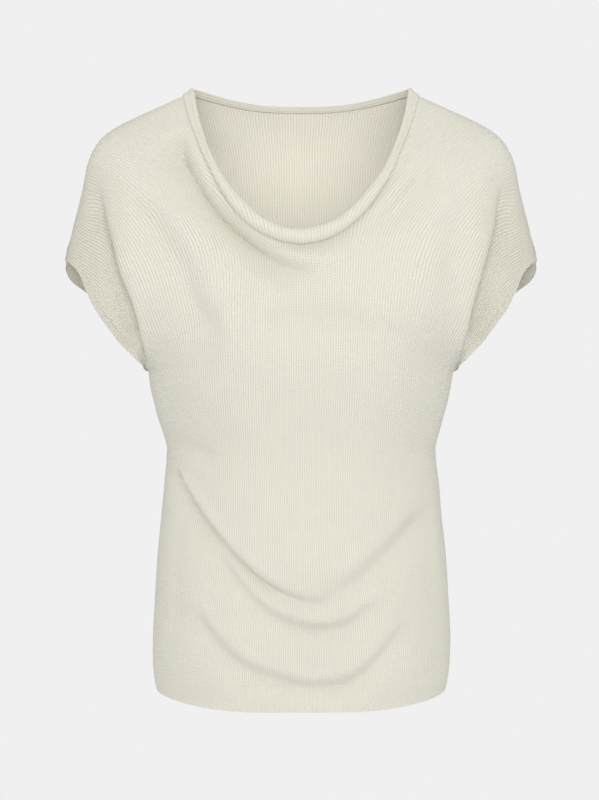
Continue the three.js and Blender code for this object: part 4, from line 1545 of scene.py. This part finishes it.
class KNITWEAR_OT_stitches(bpy.types.Operator):
    """Stitches along the side seams, the sleeve openings and the top of the rib"""

    bl_idname = "knitwear.stitches"
    bl_label = "Seam stitches"

    def execute(self, context):
        settings = context.scene.knitwear
        material = finished("seam_thread", thread_finish, settings.knit)
        piece = path_object("seam_stitches", stitch_paths())
        piece.data.materials.append(material)
        stitch_recipe().apply(
            piece,
            Pitch=settings.stitch.pitch,
            Length=settings.stitch.length,
            Width=settings.stitch.width,
            Slant=settings.stitch.slant,
            Material=material,
        )
        piece.data.polygons.foreach_set("use_smooth", [True] * len(piece.data.polygons))
        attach(piece, "root")
        return {"FINISHED"}


class KNITWEAR_OT_stage(bpy.types.Operator):
    """Pale floor and backdrop, soft light and the camera"""

    bl_idname = "knitwear.stage"
    bl_label = "Stage"

    def execute(self, context):
        stage = context.scene.knitwear.stage
        scene = context.scene
        scene.view_settings.view_transform = "Standard"
        scene.view_settings.look = "None"
        add_backdrop(stage)
        add_light(scene, stage)
        add_camera(scene, stage)
        return {"FINISHED"}


def add_backdrop(stage):
    """A pale floor inside a pale round tent, which only the camera sees."""
    material = bpy.data.materials.new("pale_backdrop")
    material.use_nodes = True
    nodes = material.node_tree.nodes
    nodes.clear()
    glow = nodes.new("ShaderNodeEmission")
    glow.inputs["Color"].default_value = opaque(stage.backdrop)
    output = nodes.new("ShaderNodeOutputMaterial")
    material.node_tree.links.new(glow.outputs[0], output.inputs["Surface"])
    bpy.ops.mesh.primitive_cylinder_add(
        vertices=64, radius=FLOOR_RADIUS, depth=FLOOR_THICKNESS, location=(0, 0, -FLOOR_DROP)
    )
    floor = bpy.context.object
    floor.name = "floor"
    bpy.ops.mesh.primitive_uv_sphere_add(segments=48, ring_count=24, radius=TENT_RADIUS)
    tent = bpy.context.object
    tent.name = "tent"
    for thing in (floor, tent):
        thing.data.materials.append(material)
        thing.visible_diffuse = False
        thing.visible_glossy = False
        thing.visible_shadow = False
        thing.visible_transmission = False


def add_light(scene, stage):
    """Even light from all round, soft lights in front, above and at both sides, and a neck fill."""
    world = bpy.data.worlds.new("studio")
    world.use_nodes = True
    background = world.node_tree.nodes["Background"]
    background.inputs["Color"].default_value = opaque(AMBIENT_COLOUR)
    background.inputs["Strength"].default_value = stage.ambient
    scene.world = world
    for name, power, place, size, aim in LIGHTS:
        add_soft_box(scene, name, getattr(stage, power), place, size, aim)


def add_soft_box(scene, name, power, place, size, aim):
    """A large soft light that the camera doesn't see, turned towards a place."""
    lamp = bpy.data.lights.new(name, "AREA")
    lamp.shape = "RECTANGLE"
    lamp.size, lamp.size_y = size
    lamp.energy = power
    lamp.color = LIGHT_COLOUR
    box = bpy.data.objects.new(name, lamp)
    box.location = place
    box.rotation_euler = (Vector(aim) - Vector(place)).to_track_quat("-Z", "Y").to_euler()
    box.visible_camera = False
    scene.collection.objects.link(box)


def add_camera(scene, stage):
    """Camera in front of the chest, looking a little down."""
    lens = bpy.data.cameras.new("camera")
    lens.lens = stage.lens
    lens.sensor_width = CAMERA_SENSOR
    camera = bpy.data.objects.new("camera", lens)
    camera.location = (CAMERA_ASIDE, -stage.distance, -CAMERA_DROP)
    camera.rotation_euler = (math.pi / 2 - CAMERA_PITCH, 0, 0)
    scene.collection.objects.link(camera)
    scene.camera = camera


class KNITWEAR_PT_top(bpy.types.Panel):
    """Settings and pieces of the top"""

    bl_idname = "KNITWEAR_PT_top"
    bl_label = "Cowl neck top"
    bl_space_type = "VIEW_3D"
    bl_region_type = "UI"
    bl_category = "Knitwear"

    def draw(self, context):
        layout = self.layout
        settings = context.scene.knitwear
        for group in (settings.knit, settings.rib, settings.stitch, settings.stage):
            box = layout.box()
            for key in group.__annotations__:
                box.prop(group, key)
        for operator in OPERATORS:
            layout.operator(operator.bl_idname)


OPERATORS = (
    KNITWEAR_OT_front,
    KNITWEAR_OT_back,
    KNITWEAR_OT_hem_ribs,
    KNITWEAR_OT_stitches,
    KNITWEAR_OT_stage,
)
CLASSES = (
    KnitSettings,
    RibSettings,
    StitchSettings,
    StageSettings,
    TopSettings,
    *OPERATORS,
    KNITWEAR_PT_top,
)


def register():
    for cls in CLASSES:
        bpy.utils.register_class(cls)
    bpy.types.Scene.knitwear = PointerProperty(type=TopSettings)


def unregister():
    del bpy.types.Scene.knitwear
    for cls in reversed(CLASSES):
        bpy.utils.unregister_class(cls)


def main():
    register()
    bpy.ops.knitwear.front()
    bpy.ops.knitwear.back()
    bpy.ops.knitwear.hem_ribs()
    bpy.ops.knitwear.stitches()
    bpy.ops.knitwear.stage()


if __name__ == "__main__":
    main()
